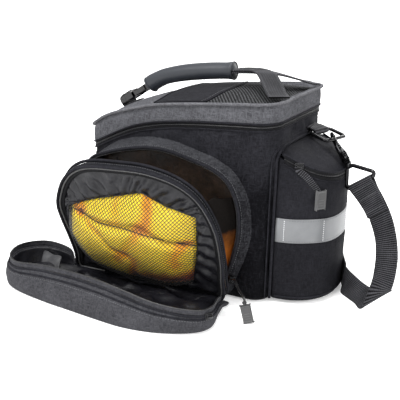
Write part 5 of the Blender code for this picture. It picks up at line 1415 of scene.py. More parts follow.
def build_hem():
    """Ruffled nylon gathered between the panel's rim and the net."""
    inner = resample([window_point(u, v) for u, v in window_edge(40)], 1.25 * MM, closed=True)
    rim = resample(panel_loop(-6.5 * MM, 0.6 * PANEL_FLARE), 1.5 * MM, closed=True)
    middle = Vector((0.0, 0.42 * PANEL_HEIGHT))
    rows = [[] for step in range(12)]
    count = len(inner)
    for place, point in enumerate(inner):
        away = (point - middle).normalized()
        best = max(rim, key=lambda q: (q - middle).normalized().dot(away))
        turn = 2 * math.pi * place / count
        spread = (best - point).length
        for step, row in enumerate(rows):
            share = step / 11
            flat = point.lerp(best, share)
            swing = 3.4 * share + 2.2 * noise.noise(Vector((math.cos(turn) * 2, math.sin(turn) * 2, 0)))
            ruffle = math.sin(34 * turn + swing) + 0.6 * math.sin(21 * turn - 2 * swing + 1.3)
            ruffle += 0.8 * noise.noise(Vector((flat.x, flat.y, 0.3)) * 90)
            tall = min(1.0, spread / 0.016) * math.sin(math.pi * min(1.0, 0.12 + 0.88 * share)) ** 0.8
            depth = PANEL_DEPTH - 4.0 * MM * share + 1.9 * MM * ruffle * tall + 1.5 * MM * tall
            row.append(on_panel(flat.x, flat.y, depth))
    hem = surface("pocket_hem_cloth", rows, wrap=True, sharp=80)
    thicken(hem, 0.6 * MM)
    dress(hem, HEM_NYLON, "lining", "pocket_hem")
    seam = (outline_length(rim) + outline_length(inner)) / 2


# Folded-down flap

def flap_points(share):
    rows = curve_through([Vector(row[:2] + (row[4],)) for row in FLAP_PLAN], 6)
    rims = curve_through([Vector(row[2:]) for row in FLAP_PLAN], 6)
    points = []
    for low, high in zip(rows, rims):
        a = Vector((PANEL_X + low[0] * FLAP_LENGTH / 2, FLAP_Y - max(low[1], 0) * FLAP_REACH, 0.0))
        b = Vector((PANEL_X + high[0] * FLAP_LENGTH / 2, FLAP_Y - max(high[1], -0.01) * FLAP_REACH,
                    high[2] * FLAP_RIM))
        points.append(a.lerp(b, share))
    return points


def flap_ring(share, inset, level=None, lift=0.0):
    """The flap's outline part of the way up from the floor, drawn in by an inset."""
    points = flap_points(share)
    flat = grow([Vector((p.x, p.y)) for p in points], [inset] * len(points))
    return [Vector((q.x, q.y, max((p.z if level is None else level) + lift, 0.0)))
            for p, q in zip(points, flat)]


# Points at the end of the flap's outline that lie along its hinge
FLAP_BOTTOM = 24


def build_flap():
    swell = 3.4 * MM
    rows = [flap_ring(0.0, 30 * MM, 0.0), flap_ring(0.0, 12 * MM, 0.0), flap_ring(0.0, 4 * MM, 0.0),
            flap_ring(0.0, 1.5 * MM, 0.4 * MM)]
    for share in (0.08, 0.18, 0.3, 0.42, 0.54, 0.66, 0.76):
        rows.append(flap_ring(share, -swell * math.sin(math.pi * share) ** 0.8))
    rows += [flap_ring(0.80, -1.2 * MM), flap_ring(0.85, -1.7 * MM), flap_ring(0.90, -0.6 * MM),
             flap_ring(0.95, -0.9 * MM), flap_ring(1.0, 0.0), flap_ring(1.0, FLAP_WALL)]
    rows += [flap_ring(0.8, FLAP_WALL), flap_ring(0.5, FLAP_WALL - 0.6 * swell),
             flap_ring(0.15, FLAP_WALL + 1 * MM, 4.0 * MM), flap_ring(0.0, 6 * MM, FLAP_WALL),
             flap_ring(0.0, 30 * MM, FLAP_WALL)]
    flap = surface("outer_flap_cloth", rows, wrap=True, loop=True)
    calm = lambda co: smooth_step(2 * MM, 12 * MM, co.z)
    crease(flap, 1.1 * MM, 0.045, (0.7, 0.7, 2.2), 9.2, calm)
    dress(flap, FLAP_CLOTH, "fabric", "outer_flap")

    def along_rim(share, inset, lift):
        line = flap_ring(share, inset, None, lift)
        return line[6:len(line) - FLAP_BOTTOM]

    tape = along_rim(1.0, 0.5 * FLAP_WALL, 3.4 * MM)
    dress(strip("flap_zip_tape", tape, [UP] * len(tape), FLAP_TAPE, 1.1 * MM), FLAP_CLOTH, "zip_tape",
          "flap_zipper")
    coil("flap_zip_coil", along_rim(1.0, 0.5 * FLAP_WALL, 6.2 * MM), 1.1 * MM)
    for name, share, inset in (("flap_ridge_high", 0.97, -0.5), ("flap_ridge_low", 0.83, -1.9)):
        piping(name, along_rim(share, inset * MM, 0.0), 1.2 * MM, sides=8)
    seam = along_rim(0.74, -3.1 * MM, 0.0)
    centre = Vector((PANEL_X, FLAP_Y - 0.5 * FLAP_REACH, 0.0))
    sewn("flap_stitches", seam, lambda p: unit(p.x - centre.x, p.y - centre.y, 0))


def build_flap_lining():
    """Crumpled lining that covers the tray's floor and climbs its wall."""
    outline = flap_ring(0.0, FLAP_WALL + 5 * MM, 0.0)
    middle = Vector((PANEL_X - 0.02, FLAP_Y - 0.5 * FLAP_REACH, 0.0))
    rows = []
    for share in np.linspace(0.0, 1.0, 30):
        row = []
        for p in outline:
            q = middle.lerp(p, share)
            climb = 5.0 * MM * smooth_step(0.75, 1.0, share)
            folds = 8.5 * MM * (0.6 + fold_noise(q, 0.034, (0.8, 1.4, 1), 12.0))
            fine = 2.0 * MM * fold_noise(q, 0.016, (1, 1, 1), 2.0)
            row.append(Vector((q.x, q.y, 3.6 * MM + climb + max(0.0, folds + fine) * (1 - share ** 8))))
        rows.append(row)
    lining = surface("flap_floor_lining", rows, wrap=True, sharp=80)
    thicken(lining, 0.6 * MM)
    dress(lining, HEM_NYLON, "lining")
    wall = []
    for share in (0.10, 0.25, 0.4, 0.55, 0.7, 0.82, 0.90):
        inset = FLAP_WALL + 1.2 * MM - 2.0 * MM * math.sin(math.pi * share)
        line = flap_ring(share, inset, None, 1.0 * MM)
        row = []
        for p in line:
            wave = 2.6 * MM * math.sin(math.pi * share) * abs(fold_noise(p, 0.02, (1, 1, 0.5), 3.0))
            toward = middle - p
            toward.z = 0
            row.append(p + toward.normalized() * wave)
        wall.append(row)
    side = surface("flap_wall_lining", wall, wrap=True, sharp=80)
    thicken(side, 0.6 * MM)
    dress(side, HEM_NYLON, "lining")
    around = outline_length(flap_ring(0.5, FLAP_WALL))


# Closed pocket on the hidden right side

def right_ring(long_share, high_share, depth):
    points = []
    for p in frame_loop(0.0):
        x = p.x * long_share + FRAME_X
        y = depth if depth else half_width(x) + 0.8 * MM
        points.append(Vector((x, y, p.y * high_share + FRAME_Z)))
    return points


def build_right_pocket():
    face = SIDE + RIGHT_DEPTH
    stages = ((1.0, 1.0, 0.0), (1.0, 1.0, SIDE + 5 * MM), (1.0, 1.0, SIDE + FRAME_DEPTH),
              (0.997, 0.990, SIDE + 0.30 * RIGHT_DEPTH), (0.993, 0.975, SIDE + 0.45 * RIGHT_DEPTH),
              (0.985, 0.95, SIDE + 0.60 * RIGHT_DEPTH), (0.975, 0.92, SIDE + 0.75 * RIGHT_DEPTH),
              (0.955, 0.89, face - 8 * MM), (0.925, 0.845, face - 3.5 * MM), (0.87, 0.79, face - 1 * MM),
              (0.80, 0.72, face), (0.6, 0.6, face + 0.8 * MM), (0.4, 0.47, face + 1.4 * MM),
              (0.2, 0.40, face + 1.8 * MM))
    rows = [right_ring(*stage) for stage in stages]
    pocket = surface("right_pocket_shell", rows, wrap=True, caps=True)
    crease(pocket, 1.4 * MM, 0.045, (1.3, 1, 0.8), 4.0, lambda co: smooth_step(SIDE, SIDE + 0.02, co.y))
    dress(pocket, BODY_CLOTH, "fabric", "right_pocket")
    zip_line = upright(right_ring(0.998, 0.985, SIDE + 0.35 * RIGHT_DEPTH))
    middle = Vector((FRAME_X, 0, FRAME_Z + 0.4 * FRAME_HEIGHT))
    away = lambda p: unit(p.x - middle.x, 0, p.z - middle.z)
    line = [p + away(p) * 1.6 * MM for p in zip_line]
    coil("right_zip_coil", line, 1.3 * MM, "right_pocket_zipper", guide=ACROSS)
    for name, shift in (("right_zip_tape_in", -3.4), ("right_zip_tape_out", 3.4)):
        tape = [p + ACROSS * shift * MM + away(p) * 0.9 * MM for p in zip_line]
        dress(strip(name, tape, [ACROSS] * len(tape), 5 * MM, 0.9 * MM), ZIP_TAPE, "zip_tape")
    for name, stage in (("right_root_piping", (1.0, 1.0, SIDE + FRAME_DEPTH)),
                        ("right_face_piping", (0.955, 0.89, face - 8 * MM))):
        ring_line = [p + away(p) * MM for p in right_ring(*stage)]
        piping(name, upright(ring_line), 1.5 * MM, guide=ACROSS)


# Handle

def build_handle():
    line = [Vector((row[0] * HALF, 0.0, row[1] * BAG_HEIGHT)) for row in GRIP_LINE]
    fine = curve_through(line, 10, closed=False)
    girths = curve_through([Vector((row[2], 0)) for row in GRIP_LINE], 10, closed=False)
    radii = [GRIP_RADIUS * g.x for g in girths]
    grip = tube("grip_foam", fine, GRIP_RADIUS, 28, guide=UP, radii=radii)
    dress(grip, FOAM, "foam_grip", "handle_grip")
    for name, place in (("grip_collar_front", 6), ("grip_collar_rear", -7)):
        centre = fine[place]
        ahead = heading(fine, place % len(fine))
        ring_points = [centre + (ACROSS * math.cos(a) + ahead.cross(ACROSS) * math.sin(a))
                       * GRIP_RADIUS * 1.03 for a in np.linspace(0, 2 * math.pi, 33)[:-1]]
        dress(tube(name, ring_points, 0.9 * MM, 8, True, ahead), FOAM, "foam_grip")
    seam = [p - UP * (r - 0.1 * MM) for p, r in zip(fine[6:-6], radii[6:-6])]
    sewn("grip_seam_stitches", seam, lambda p: -UP, 4 * MM, 2.6 * MM, slot="foam_grip")
    for side, sign in (("left", -1), ("right", 1)):
        lift = GAP + LEG_THICK / 2 + 0.2 * MM
        centres, wides = [], []
        for along, across, up, turn in LEG_LINE:
            rest = max(0.0, min(1.0, 1.5 - across / 0.35))
            height = up * BAG_HEIGHT - sign * lift * rest
            centres.append(Vector((along * HALF, sign * across * SIDE, height)))
            wides.append(unit(-sign * 0.76 * turn, 1.0 - 0.35 * turn, 0.0))
        centres = curve_through(centres, 9, closed=False)
        wides = curve_through(wides, 9, closed=False)
        leg = strip("handle_webbing_" + side, centres, wides, LEG_WIDTH, LEG_THICK, 0.22 * MM)
        dress(leg, WEBBING, "webbing", "handle_leg_" + side)
        parts = []
        for across in (-0.40, 0.40):
            edge = [c + w.normalized() * across * LEG_WIDTH for c, w in zip(centres, wides)]
            edge = [p + UP * 0.9 * MM for p in edge]
            parts.append(stitches("part", edge, lambda p: UP, 3 * MM, 1.9 * MM, 0.5 * MM))
        dress(joined("handle_stitches_" + side, *parts), THREAD, "webbing")


# Rear hardware and shoulder strap

def strap_edges():
    left, right = [], []
    for row in STRAP_LINE:
        edge = Vector((row[0] * 2 * HALF, row[1] * 2 * SIDE, row[2] * BAG_HEIGHT))
        left.append(edge)
        right.append(edge + Vector(row[3:]) * STRAP_WIDTH)
    return left, right


def eye_axes():
    """Middle of the eye's bar, the direction along it and the direction of the strap."""
    left, right = strap_edges()
    wide = (right[0] - left[0]).normalized()
    down = Vector((0.0060, -0.0060, -0.0150))
    down = (down - wide * down.dot(wide)).normalized()
    return (left[0] + right[0]) / 2 - down * 3 * MM, wide, down


def build_strap():
    """Webbing doubled back round the eye's bar, folded on the floor, then on to the front clasp."""
    bar, wide, down = eye_axes()
    normal = down.cross(wide).normalized()
    turn = EYE_WIRE + GAP + STRAP_THICK / 2 + 0.2 * MM
    apart = STRAP_THICK / 2 + 0.35 * MM
    left, right = (curve_through(edge, 6, closed=False) for edge in strap_edges())
    middles = middle_line(left, right)
    near, far = ([], []), ([], [])
    for here, (a, b) in enumerate(zip(left, right)):
        out = heading(middles, here).cross(b - a).normalized()
        share = here / (6 * STRAP_DOUBLED)
        gap = max(apart, turn * (1 - 3 * share)) * max(0.0, min(1.0, 3 - 2.5 * share))
        for sign, pair in ((-1, near), (1, far)):
            pair[0].append(a + out * gap * sign)
            pair[1].append(b + out * gap * sign)
    edges = []
    for side, sign in ((0, -1), (1, 1)):
        path = [far[side][here] for here in range(3 * STRAP_DOUBLED, 4, -1)]
        for angle in range(70, 291, 20):
            a = math.radians(angle)
            path.append(bar + down * turn * math.cos(a) + normal * turn * math.sin(a)
                        + wide * sign * STRAP_WIDTH / 2)
        edges.append(path + near[side][5:])
    dress(webbing("shoulder_webbing", edges[0], edges[1], STRAP_THICK, 0.22 * MM), WEBBING, "webbing",
          "shoulder_strap")
    parts = []
    place = 3 * STRAP_DOUBLED - 2
    for here in (place, place - 5, place - 10):
        a, b = far[0][here], far[1][here]
        out = (far[0][here + 1] - far[0][here]).cross(b - a).normalized()
        lift = (STRAP_THICK / 2 + 0.3 * MM) * out
        line = [a.lerp(b, 0.08) + lift, b.lerp(a, 0.08) + lift]
        parts.append(stitches("part", line, lambda p, out=out: out, 2.6 * MM, 1.8 * MM, 0.7 * MM))
    dress(joined("strap_bar_tacks", *parts), THREAD, "webbing")


# Tab, ring, snap hook and eye at the rear

def path_frame(start, axes):
    return lambda along, aside, lift=0.0: start + axes[0] * along + axes[1] * aside + axes[2] * lift


def rounded_rectangle(at, width, length, radius):
    """Closed rectangle with round corners, its first side through the start of a frame."""
    path = []
    side = width / 2 - radius
    for across, along, start in ((side, radius, -90), (side, length - radius, 0),
                                 (-side, length - radius, 90), (-side, radius, 180)):
        for step in range(7):
            angle = math.radians(start + 15 * step)
            path.append(at(across + radius * math.cos(angle), along + radius * math.sin(angle)))
    return path


BAR_TURN = math.radians(16)
RING_BAR = Vector((math.sin(BAR_TURN), math.cos(BAR_TURN), 0.0))
RING_OUT = unit(math.cos(BAR_TURN), -math.sin(BAR_TURN), -0.22)
RING_START = Vector((HALF + 0.015, 0.037, REAR_ARCH + 0.0048))
RING_LENGTH = 0.025
RING_WIRE = 0.0016
RING_WIDTH = 0.041
TAB_WIDTH = 0.029
TAB_CLEAR = RING_WIRE + GAP + STRAP_THICK / 2 + 0.3 * MM
SWIVEL = Vector((HALF + REAR_DEPTH + 0.0066, 0.002, 0.1655))
HOOK_LENGTH = 0.049
HOOK_BREADTH = 0.0079
HOOK_WIRE = 0.0021


def build_tab():
    """Webbing loop sewn to the rear wall, round the ring's bar."""
    flat_out = unit(RING_OUT.x, RING_OUT.y, 0)
    wall = HALF + 4 * GAP
    y, z = RING_START.y, RING_START.z
    high = z + TAB_CLEAR + 2.6 * MM
    path = [Vector((wall, y, high)), Vector((wall + 3.5 * MM, y, high)),
            RING_START - flat_out * 4 * MM + UP * (TAB_CLEAR + 0.8 * MM)]
    for angle in range(90, -91, -15):
        turn = math.radians(angle)
        path.append(RING_START + (flat_out * math.cos(turn) + UP * math.sin(turn)) * TAB_CLEAR)
    path += [RING_START - flat_out * 6.2 * MM - UP * (TAB_CLEAR - 0.6 * MM),
             Vector((wall + 3.5 * MM, y, z + 0.8 * MM)), Vector((wall, y, z + 0.8 * MM))]
    wides = [ACROSS] * 2 + [RING_BAR] * (len(path) - 4) + [ACROSS] * 2
    tab = strip("rear_tab_webbing", path, wides, TAB_WIDTH, STRAP_THICK, 0.2 * MM)
    dress(tab, WEBBING, "webbing", "rear_tab")
    lift = TAB_CLEAR + STRAP_THICK / 2 + 0.9 * MM
    parts = []
    for back in (4.5 * MM, 6.5 * MM):
        seam = [RING_START + RING_BAR * side * 12 * MM - flat_out * back + UP * lift for side in (-1, 1)]
        parts.append(stitches("part", seam, lambda p: UP, 2.4 * MM, 1.6 * MM, 0.6 * MM))
    dress(joined("rear_tab_stitches", *parts), THREAD, "webbing")


def build_hook():
    """Wire ring on the tab, the snap hook, its spring gate, and the swivel with the strap's eye."""
    at = path_frame(RING_START, (RING_BAR, RING_OUT, RING_OUT.cross(RING_BAR)))
    ring_line = rounded_rectangle(at, RING_WIDTH, RING_LENGTH, 4 * MM)
    dress(tube("rear_ring_wire", ring_line, 1.45 * RING_WIRE, 14, True), METAL, "dark_metal", "rear_ring")
    hold = at(-4 * MM, RING_LENGTH)
    ahead = (hold - SWIVEL).normalized()
    level = ahead.cross(UP).normalized()
    tilt = math.radians(60)
    sideways = level * math.cos(tilt) - level.cross(ahead) * math.sin(tilt)
    normal = ahead.cross(sideways)
    base = hold - ahead * (HOOK_LENGTH - HOOK_WIRE - GAP - RING_WIRE - 4.2 * MM)
    on = path_frame(base, (ahead, sideways, normal))
    b, long = HOOK_BREADTH, HOOK_LENGTH
    bends = ((4 * MM, 0.30 * b, 1.25), (11 * MM, 0.80 * b, 1.70), (18 * MM, 0.98 * b, 1.75),
             (28 * MM, 0.95 * b, 1.60), (long - 5 * MM, 0.62 * b, 1.20), (long - 1.5 * MM, 0.0, 1.10),
             (long - 3 * MM, -0.65 * b, 1.0), (long - 8 * MM, -1.0 * b, 1.0),
             (long - 10.5 * MM, -1.04 * b, 0.95))
    line = curve_through([on(along, aside) for along, aside, girth in bends], 6, closed=False)
    girths = curve_through([Vector((girth, 0)) for along, aside, girth in bends], 6, closed=False)
    body = tube("part", line, HOOK_WIRE, 14, guide=normal, radii=[HOOK_WIRE * g.x for g in girths])
    yoke = rounded_block("part", on(5.5 * MM, 0.0), (ahead, sideways, normal),
                         (8 * MM, 2.15 * b, 2.3 * HOOK_WIRE), 1.5 * MM)
    lug = rounded_block("part", on(9.5 * MM, -0.80 * b), (ahead, sideways, normal),
                        (6.0 * MM, 0.5 * b, 2.3 * HOOK_WIRE), 1.3 * MM)
    rivet = tube("part", [on(11.0 * MM, -0.86 * b, side * 2.5 * MM) for side in (-1, 1)], 1.1 * MM, 12)
    collar = tube("part", [base - ahead * 0.2 * MM, base + ahead * 2.0 * MM], 4.4 * MM, 24)
    dress(joined("snap_hook_body", body, yoke, lug, rivet, collar), METAL, "dark_metal", "snap_hook")

    pivot, tip = on(11.5 * MM, -0.90 * b), on(long - 10.5 * MM - GAP - 1.1 * MM, -1.04 * b)
    lever = tube("part", [pivot.lerp(tip, s) for s in (-0.06, 0.1, 0.35, 0.7, 0.93, 1.0)], 1.5 * MM, 12,
                 radii=[1.3 * MM, 1.5 * MM, 1.35 * MM, 1.3 * MM, 1.5 * MM, 1.2 * MM])
    thumb = rounded_block("part", pivot.lerp(tip, 0.38) - sideways * 1.5 * MM, (ahead, sideways, normal),
                          (4.0 * MM, 1.6 * MM, 2.6 * MM), 0.6 * MM)
    dress(joined("snap_hook_lever", lever, thumb), METAL, "dark_metal", "snap_hook_gate", body="gate")

    post = [base + ahead * step * MM for step in (-6.2, -5.4, -4.2, -2.6, -1.9, -1.3, -0.7, -0.35)]
    swivel = tube("part", post, 1.0, 24, guide=normal,
                  radii=[r * MM for r in (2.4, 3.6, 4.0, 3.7, 2.4, 2.4, 4.1, 3.9)])
    centre, wide, down = eye_axes()
    reach = STRAP_WIDTH / 2 + EYE_WIRE + 2.2 * MM
    low = base - ahead * 5.5 * MM
    side = [(low, 4.5 * MM), (centre - down * 5 * MM, reach), (centre, reach - 2 * MM)]
    corners = [place - wide * out for place, out in side]
    corners += [place + wide * out for place, out in reversed(side)]
    loop = []
    for here, corner in enumerate(corners):
        before, after = corners[here - 1], corners[(here + 1) % len(corners)]
        cut = 3 * MM if here in (1, 2, 3, 4) else 2 * MM
        a = corner + (before - corner).normalized() * cut
        c = corner + (after - corner).normalized() * cut
        loop += [a.lerp(corner, t).lerp(corner.lerp(c, t), t) for t in np.linspace(0, 1, 6)]
    eye = tube("part", loop, 1.4 * EYE_WIRE, 14, True, normal)
    dress(joined("swivel_and_eye", swivel, eye), METAL, "dark_metal", "swivel_eye")


# Zip sliders, pulls and the handle's buckle

def zip_slider(name, node, middle, axes):
    """Slider body with a raised crown and a bridge over it."""
    along, out = axes[0], axes[2]
    base = rounded_block("part", middle - out * 0.9 * MM, axes, (10.5 * MM, 7.6 * MM, 1.9 * MM), 0.8 * MM)
    crown = rounded_block("part", middle + out * 0.5 * MM, axes, (7.5 * MM, 4.6 * MM, 1.6 * MM), 0.7 * MM)
    bridge = [middle + along * a * MM + out * o * MM
              for a, o in ((-3.6, 0.6), (-3.0, 2.1), (-1.0, 2.7), (1.0, 2.7), (3.0, 2.1), (3.6, 0.6))]
    bow = tube("part", curve_through(bridge, 4, closed=False), 0.65 * MM, 10)
    dress(joined(name, base, crown, bow), METAL, "dark_metal", node)


def pull_tip(name, node, middle, axes, size):
    """Grey rubber tip with a raised rim, a hollow face and a hole bar at its top."""
    side, down, out = axes
    wide, long, thick = size
    slab = rounded_block("part", middle, axes, (wide, long, 0.62 * thick), 0.25 * thick, 4)
    parts = [slab]
    rim = [middle + side * a * wide + down * b * long + out * 0.25 * thick
           for a, b in ((-0.36, -0.42), (0.36, -0.42), (0.42, -0.2), (0.42, 0.36), (0.34, 0.43),
                        (-0.34, 0.43), (-0.42, 0.36), (-0.42, -0.2))]
    rim = curve_through(rim, 4)
    parts.append(tube("part", rim, 0.24 * thick, 8, True, out))
    for step in (0.0, 0.14, 0.28):
        line = [middle + side * a * wide + down * step * long + out * 0.30 * thick for a in (-0.26, 0.26)]
        parts.append(tube("part", line, 0.35 * MM, 8))
    dress(joined(name, *parts), RUBBER, "grey_rubber", node)


def rear_axes(turn, after, offset):
    """A place on the pocket's wall, with the level directions along it and out of it."""
    place, beyond = rear_point(turn, offset), rear_point(after, offset)
    along = unit(beyond.x - place.x, beyond.y - place.y, 0)
    return place, along, Vector((along.y, -along.x, 0))


def build_rear_pull():
    """Slider on the pocket's zip, its webbing pull and the rubber tip."""
    turn = math.radians(-68)
    edge, along, out = rear_axes(turn, turn + 0.15, 2.5 * MM)
    level = zip_height(edge.x) + 2 * MM
    zip_slider("rear_slider_body", "rear_slider", Vector((edge.x, edge.y, level)), (along, UP, out))
    path = []
    for share, drop in ((-0.05, 0.0), (0.0, 0.0055), (0.35, 0.013), (0.75, 0.0245), (1.0, 0.0325)):
        place = rear_point(turn + 0.42 * share, (2.4 - 0.6 * share) * MM)
        path.append(Vector((place.x, place.y, level - drop)))
    path = curve_through(path, 5, closed=False)
    dress(strip("rear_pull_webbing", path, [along] * len(path), 8.6 * MM, 1.2 * MM, 0.15 * MM), WEBBING,
          "webbing", "rear_pull")
    hang, tip_along, tip_out = rear_axes(turn + 0.47, turn + 0.62, 3.0 * MM)
    middle = Vector((hang.x, hang.y, path[-1].z - 9.5 * MM))
    pull_tip("rear_pull_rubber", "rear_pull_tip", middle, (tip_along, -UP, tip_out),
             (12.5 * MM, 23 * MM, 4.6 * MM))


def build_panel_pull():
    """Slider where the gap closes, its cord and the grey tip that hangs beside the bag."""
    middle = box_of("panel_slider")[1]
    axes = (unit(0.25, 0.0, 0.97), Vector((0.97, 0, -0.25)), -ACROSS)
    zip_slider("panel_slider_body", "panel_slider", middle, axes)
    tip = box_of("panel_pull_tip")[1]
    down = unit(0.30, -0.05, -0.95)
    top = tip - down * 11 * MM
    path = [middle + Vector((1 * MM, -3.2 * MM, 0)), middle + Vector((4.5 * MM, -4.8 * MM, 1.5 * MM)),
            middle + Vector((9 * MM, -10 * MM, 3.5 * MM)), top.lerp(middle, 0.5) + Vector((1, -3, 5)) * MM,
            top - down * 7 * MM, top + down * 3 * MM]
    cord = curve_through(path, 6, closed=False)
    offset = [(p + Vector((1.6, 0.4, 0.9)) * MM * math.sin(math.pi * s / (len(cord) - 1)))
              for s, p in enumerate(cord)]
    strands = [tube("part", line, 0.95 * MM, 10) for line in (cord, offset)]
    knot = tube("part", [top - down * s * MM for s in (4.5, 3.6, 2.4, 1.2, 0.4)], 1.0, 14,
                radii=[r * MM for r in (1.2, 2.4, 2.7, 2.3, 1.6)])
    dress(joined("panel_pull_cord", *strands, knot), PLASTIC, "cord", "panel_pull")
    face = Vector((0.35, -0.93, 0.0))
    face = (face - down * face.dot(down)).normalized()
    pull_tip("panel_pull_rubber", "panel_pull_tip", tip, (down.cross(face), down, face),
             (11.8 * MM, 21.5 * MM, 4.6 * MM))


def build_buckle():
    """Ladder buckle: neck with a window, ribbed body and a round bar at its low end."""
    start = Vector((GRIP_LINE[0][0] * HALF, 0.0, GRIP_LINE[0][1] * BAG_HEIGHT))
    slope = math.radians(33)
    ahead = Vector((-math.cos(slope), 0.0, -math.sin(slope)))
    up = Vector((-math.sin(slope), 0.0, math.cos(slope)))
    axes = (ahead, ACROSS, up)
    on = path_frame(start + ahead * 0.9 * MM, axes)
    long, wide, thick = 0.043, 0.022, 0.0075
    pieces = [((0.04, 0.0, 0.0), (0.10, 0.78, 0.95)), ((0.14, 0.0, 0.0), (0.12, 0.98, 0.80)),
              ((0.36, 0.41, 0.0), (0.44, 0.18, 0.80)), ((0.36, -0.41, 0.0), (0.44, 0.18, 0.80)),
              ((0.545, 0.0, 0.0), (0.10, 1.0, 0.90)), ((0.66, 0.0, 0.18), (0.16, 1.02, 1.20)),
              ((0.80, 0.42, 0.10), (0.34, 0.16, 1.15)), ((0.80, -0.42, 0.10), (0.34, 0.16, 1.15)),
              ((0.92, 0.0, 0.10), (0.12, 1.02, 1.10))]
    pieces += [((0.60 + 0.065 * step, 0.0, 0.84), (0.028, 0.80, 0.16)) for step in range(3)]
    parts = [rounded_block("part", on(a * long, b * wide, c * thick), axes,
                           (sa * long, sb * wide, sc * thick), 0.55 * MM)
             for (a, b, c), (sa, sb, sc) in pieces]
    parts.append(tube("part", [on(0.99 * long, side * 0.52 * wide) for side in (-1, 1)], 2.4 * MM, 18))
    dress(joined("buckle_body", *parts), PLASTIC, "plastic", "handle_buckle")
    slot = start + ahead * (0.9 * MM + 0.80 * long)
    over, under = 0.5 * thick + 2.4 * MM, -0.5 * thick - 1.8 * MM
    feet = [Vector((x, 0, lid_top(x, 0) + 1.6 * MM))
            for x in (slot.x + 16 * MM, slot.x + 10 * MM, slot.x + 4 * MM)]
    toe = slot.x - 3 * MM
    path = feet + [slot + up * under, slot + up * over,
                   start + ahead * (long + 3.0 * MM) + up * 0.7 * over,
                   start + ahead * (long + 3.4 * MM) + up * under,
                   Vector((toe, 0, lid_top(toe, 0) + 1.7 * MM))]
    path = curve_through(path, 5, closed=False)
    dress(strip("handle_front_webbing", path, [ACROSS] * len(path), 0.018, 1.2 * MM, 0.15 * MM), WEBBING,
          "webbing", "handle_front_loop")


def end_profile(outline, sign, beyond):
    """Heights and places of an outline's points that lie beyond a place at one of its ends."""
    points = sorted((p.y, p.x) for p in outline if p.x * sign > beyond)
    return [p[0] for p in points], [p[1] for p in points]


def build_gussets():
    """Lining folded like a fan between the frame and the panel at the two ends of the gap."""
    # Both gussets carry painted shade: the rear one darkens higher up, the front one gets the dark brown
    # lining
    for name, node, sign, look in (("gusset_rear_cloth", "gusset_rear", 1, GUSSET),
                                   ("gusset_front_cloth", "gusset_front", -1, SHADED_LINING)):
        frame_side = end_profile(frame_loop(-FRAME_WALL - 2 * MM), sign, 0.6 * FRAME_LENGTH / 2)
        panel_side = end_profile(panel_loop(-1 * MM), sign, 0.5 * PANEL_LENGTH / 2)
        rows = []
        for up in np.linspace(0.03, 0.72, 34):
            level = up * FRAME_HEIGHT
            fx = float(np.interp(level, *frame_side))
            px = float(np.interp(up * PANEL_HEIGHT, *panel_side))
            start = Vector((FRAME_X + fx, -(FRAME_FACE - 5.5 * MM), FRAME_Z + level))
            end = on_panel(px, up * PANEL_HEIGHT, -1.6 * MM)
            row = []
            for step in range(27):
                share = step / 26
                deep = math.sin(math.pi * share)
                tuck = 20 * MM * up * 1.5 * deep ** 0.8
                pleat = 2.6 * MM * up * math.sin(share * 6 * math.pi) * deep
                crumple = fold_noise(Vector((share * 0.05, level, 0)), 0.02, (1, 0.5, 1), 3.0)
                wave = 1.5 * MM * crumple * deep
                row.append(start.lerp(end, share) - Vector((sign * (tuck + wave), 0, pleat)))
            rows.append(row)
        cloth = surface(name, rows, sharp=70)
        thicken(cloth, 0.5 * MM)
        dress(cloth, look, "orange_lining", node)


def build_flap_tab():
    """Grey tab of folded cloth sewn inside the flap's far wall."""
    low, size = box_of("flap_tab")[::2]
    rows = []
    for share in np.linspace(0, 1, 15):
        row = []
        for step in range(19):
            across = step / 18
            p = low + Vector((size.x * (0.06 + 0.80 * across + 0.12 * share),
                              size.y * (0.96 - 0.60 * share - 0.32 * across),
                              size.z * (1.0 - 0.88 * share)))
            p.z += 2.0 * MM * math.sin(math.pi * share) + 1.0 * MM * math.sin(9 * across + 3 * share)
            row.append(p)
        rows.append(row)
    cloth = surface("flap_tab_cloth", rows, sharp=70)
    thicken(cloth, 1.2 * MM)
    dress(cloth, GREY_TAB, "grey_tab", "flap_tab")


def build_flap_slider():
    """Slider at the end of the flap's zip."""
    axes = (unit(0.43, 0.9, 0), UP, unit(0.9, -0.43, 0))
    zip_slider("flap_slider_body", "flap_slider", box_of("flap_slider")[1], axes)


FRONT_TAB_HEIGHT = 0.128


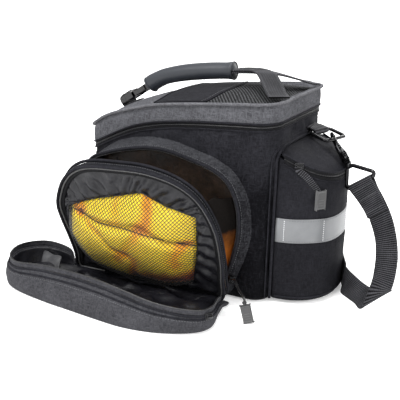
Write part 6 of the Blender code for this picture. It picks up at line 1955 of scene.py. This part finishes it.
def build_front_end():
    """Webbing tab, wire ring and plastic clasp at the strap's hidden front end."""
    y = box_of("front_tab")[1].y
    wall = -HALF - 0.5 * MM
    top = Vector((-HALF - 6.2 * MM, y, FRONT_TAB_HEIGHT))
    path = [Vector((wall - 0.9 * MM, y, top.z + 14 * MM)), Vector((wall - 1.2 * MM, y, top.z + 8 * MM))]
    for angle in range(60, 301, 15):
        turn = math.radians(angle)
        path.append(top + Vector((math.cos(turn), 0, math.sin(turn))) * TAB_CLEAR)
    tab = strip("front_tab_webbing", path, [ACROSS] * len(path), TAB_WIDTH, STRAP_THICK, 0.15 * MM)
    dress(tab, WEBBING, "webbing", "front_tab")
    down = unit(-0.34, 0.0, -0.94)
    at = path_frame(top, (ACROSS, down, ACROSS.cross(down)))
    ring_line = rounded_rectangle(at, RING_WIDTH, RING_LENGTH, 4 * MM)
    dress(tube("front_ring_wire", ring_line, RING_WIRE, 14, True), METAL, "dark_metal", "front_ring")
    middle, size = box_of("front_clasp")[1:]
    axes = (ALONG, ACROSS, UP)
    pieces = [((0, 0, 0.42), (0.9, 1.0, 0.16)), ((0, 0, -0.42), (0.9, 1.0, 0.16)),
              ((0, 0, 0), (0.6, 0.9, 0.14)), ((0, 0.43, 0), (0.7, 0.14, 1.0)),
              ((0, -0.43, 0), (0.7, 0.14, 1.0))]
    parts = [rounded_block("part", middle + Vector([a * s for a, s in zip(place, size)]), axes,
                           [a * s for a, s in zip(share, size)], 0.8 * MM) for place, share in pieces]
    dress(joined("front_clasp_body", *parts), PLASTIC, "plastic", "front_clasp")


place_camera()
place_studio()
build_body()
build_lid()
build_lid_zip()
build_lid_patches()
build_rear_pocket()
build_rear_lid()
build_rear_piping()
build_band()
build_frame()
build_pocket_lining()
build_panel()
build_window()
build_hem()
build_flap()
build_flap_lining()
build_right_pocket()
build_handle()
build_strap()
build_tab()
build_hook()
build_rear_pull()
build_panel_pull()
build_buckle()
build_gussets()
build_flap_tab()
build_flap_slider()
build_front_end()
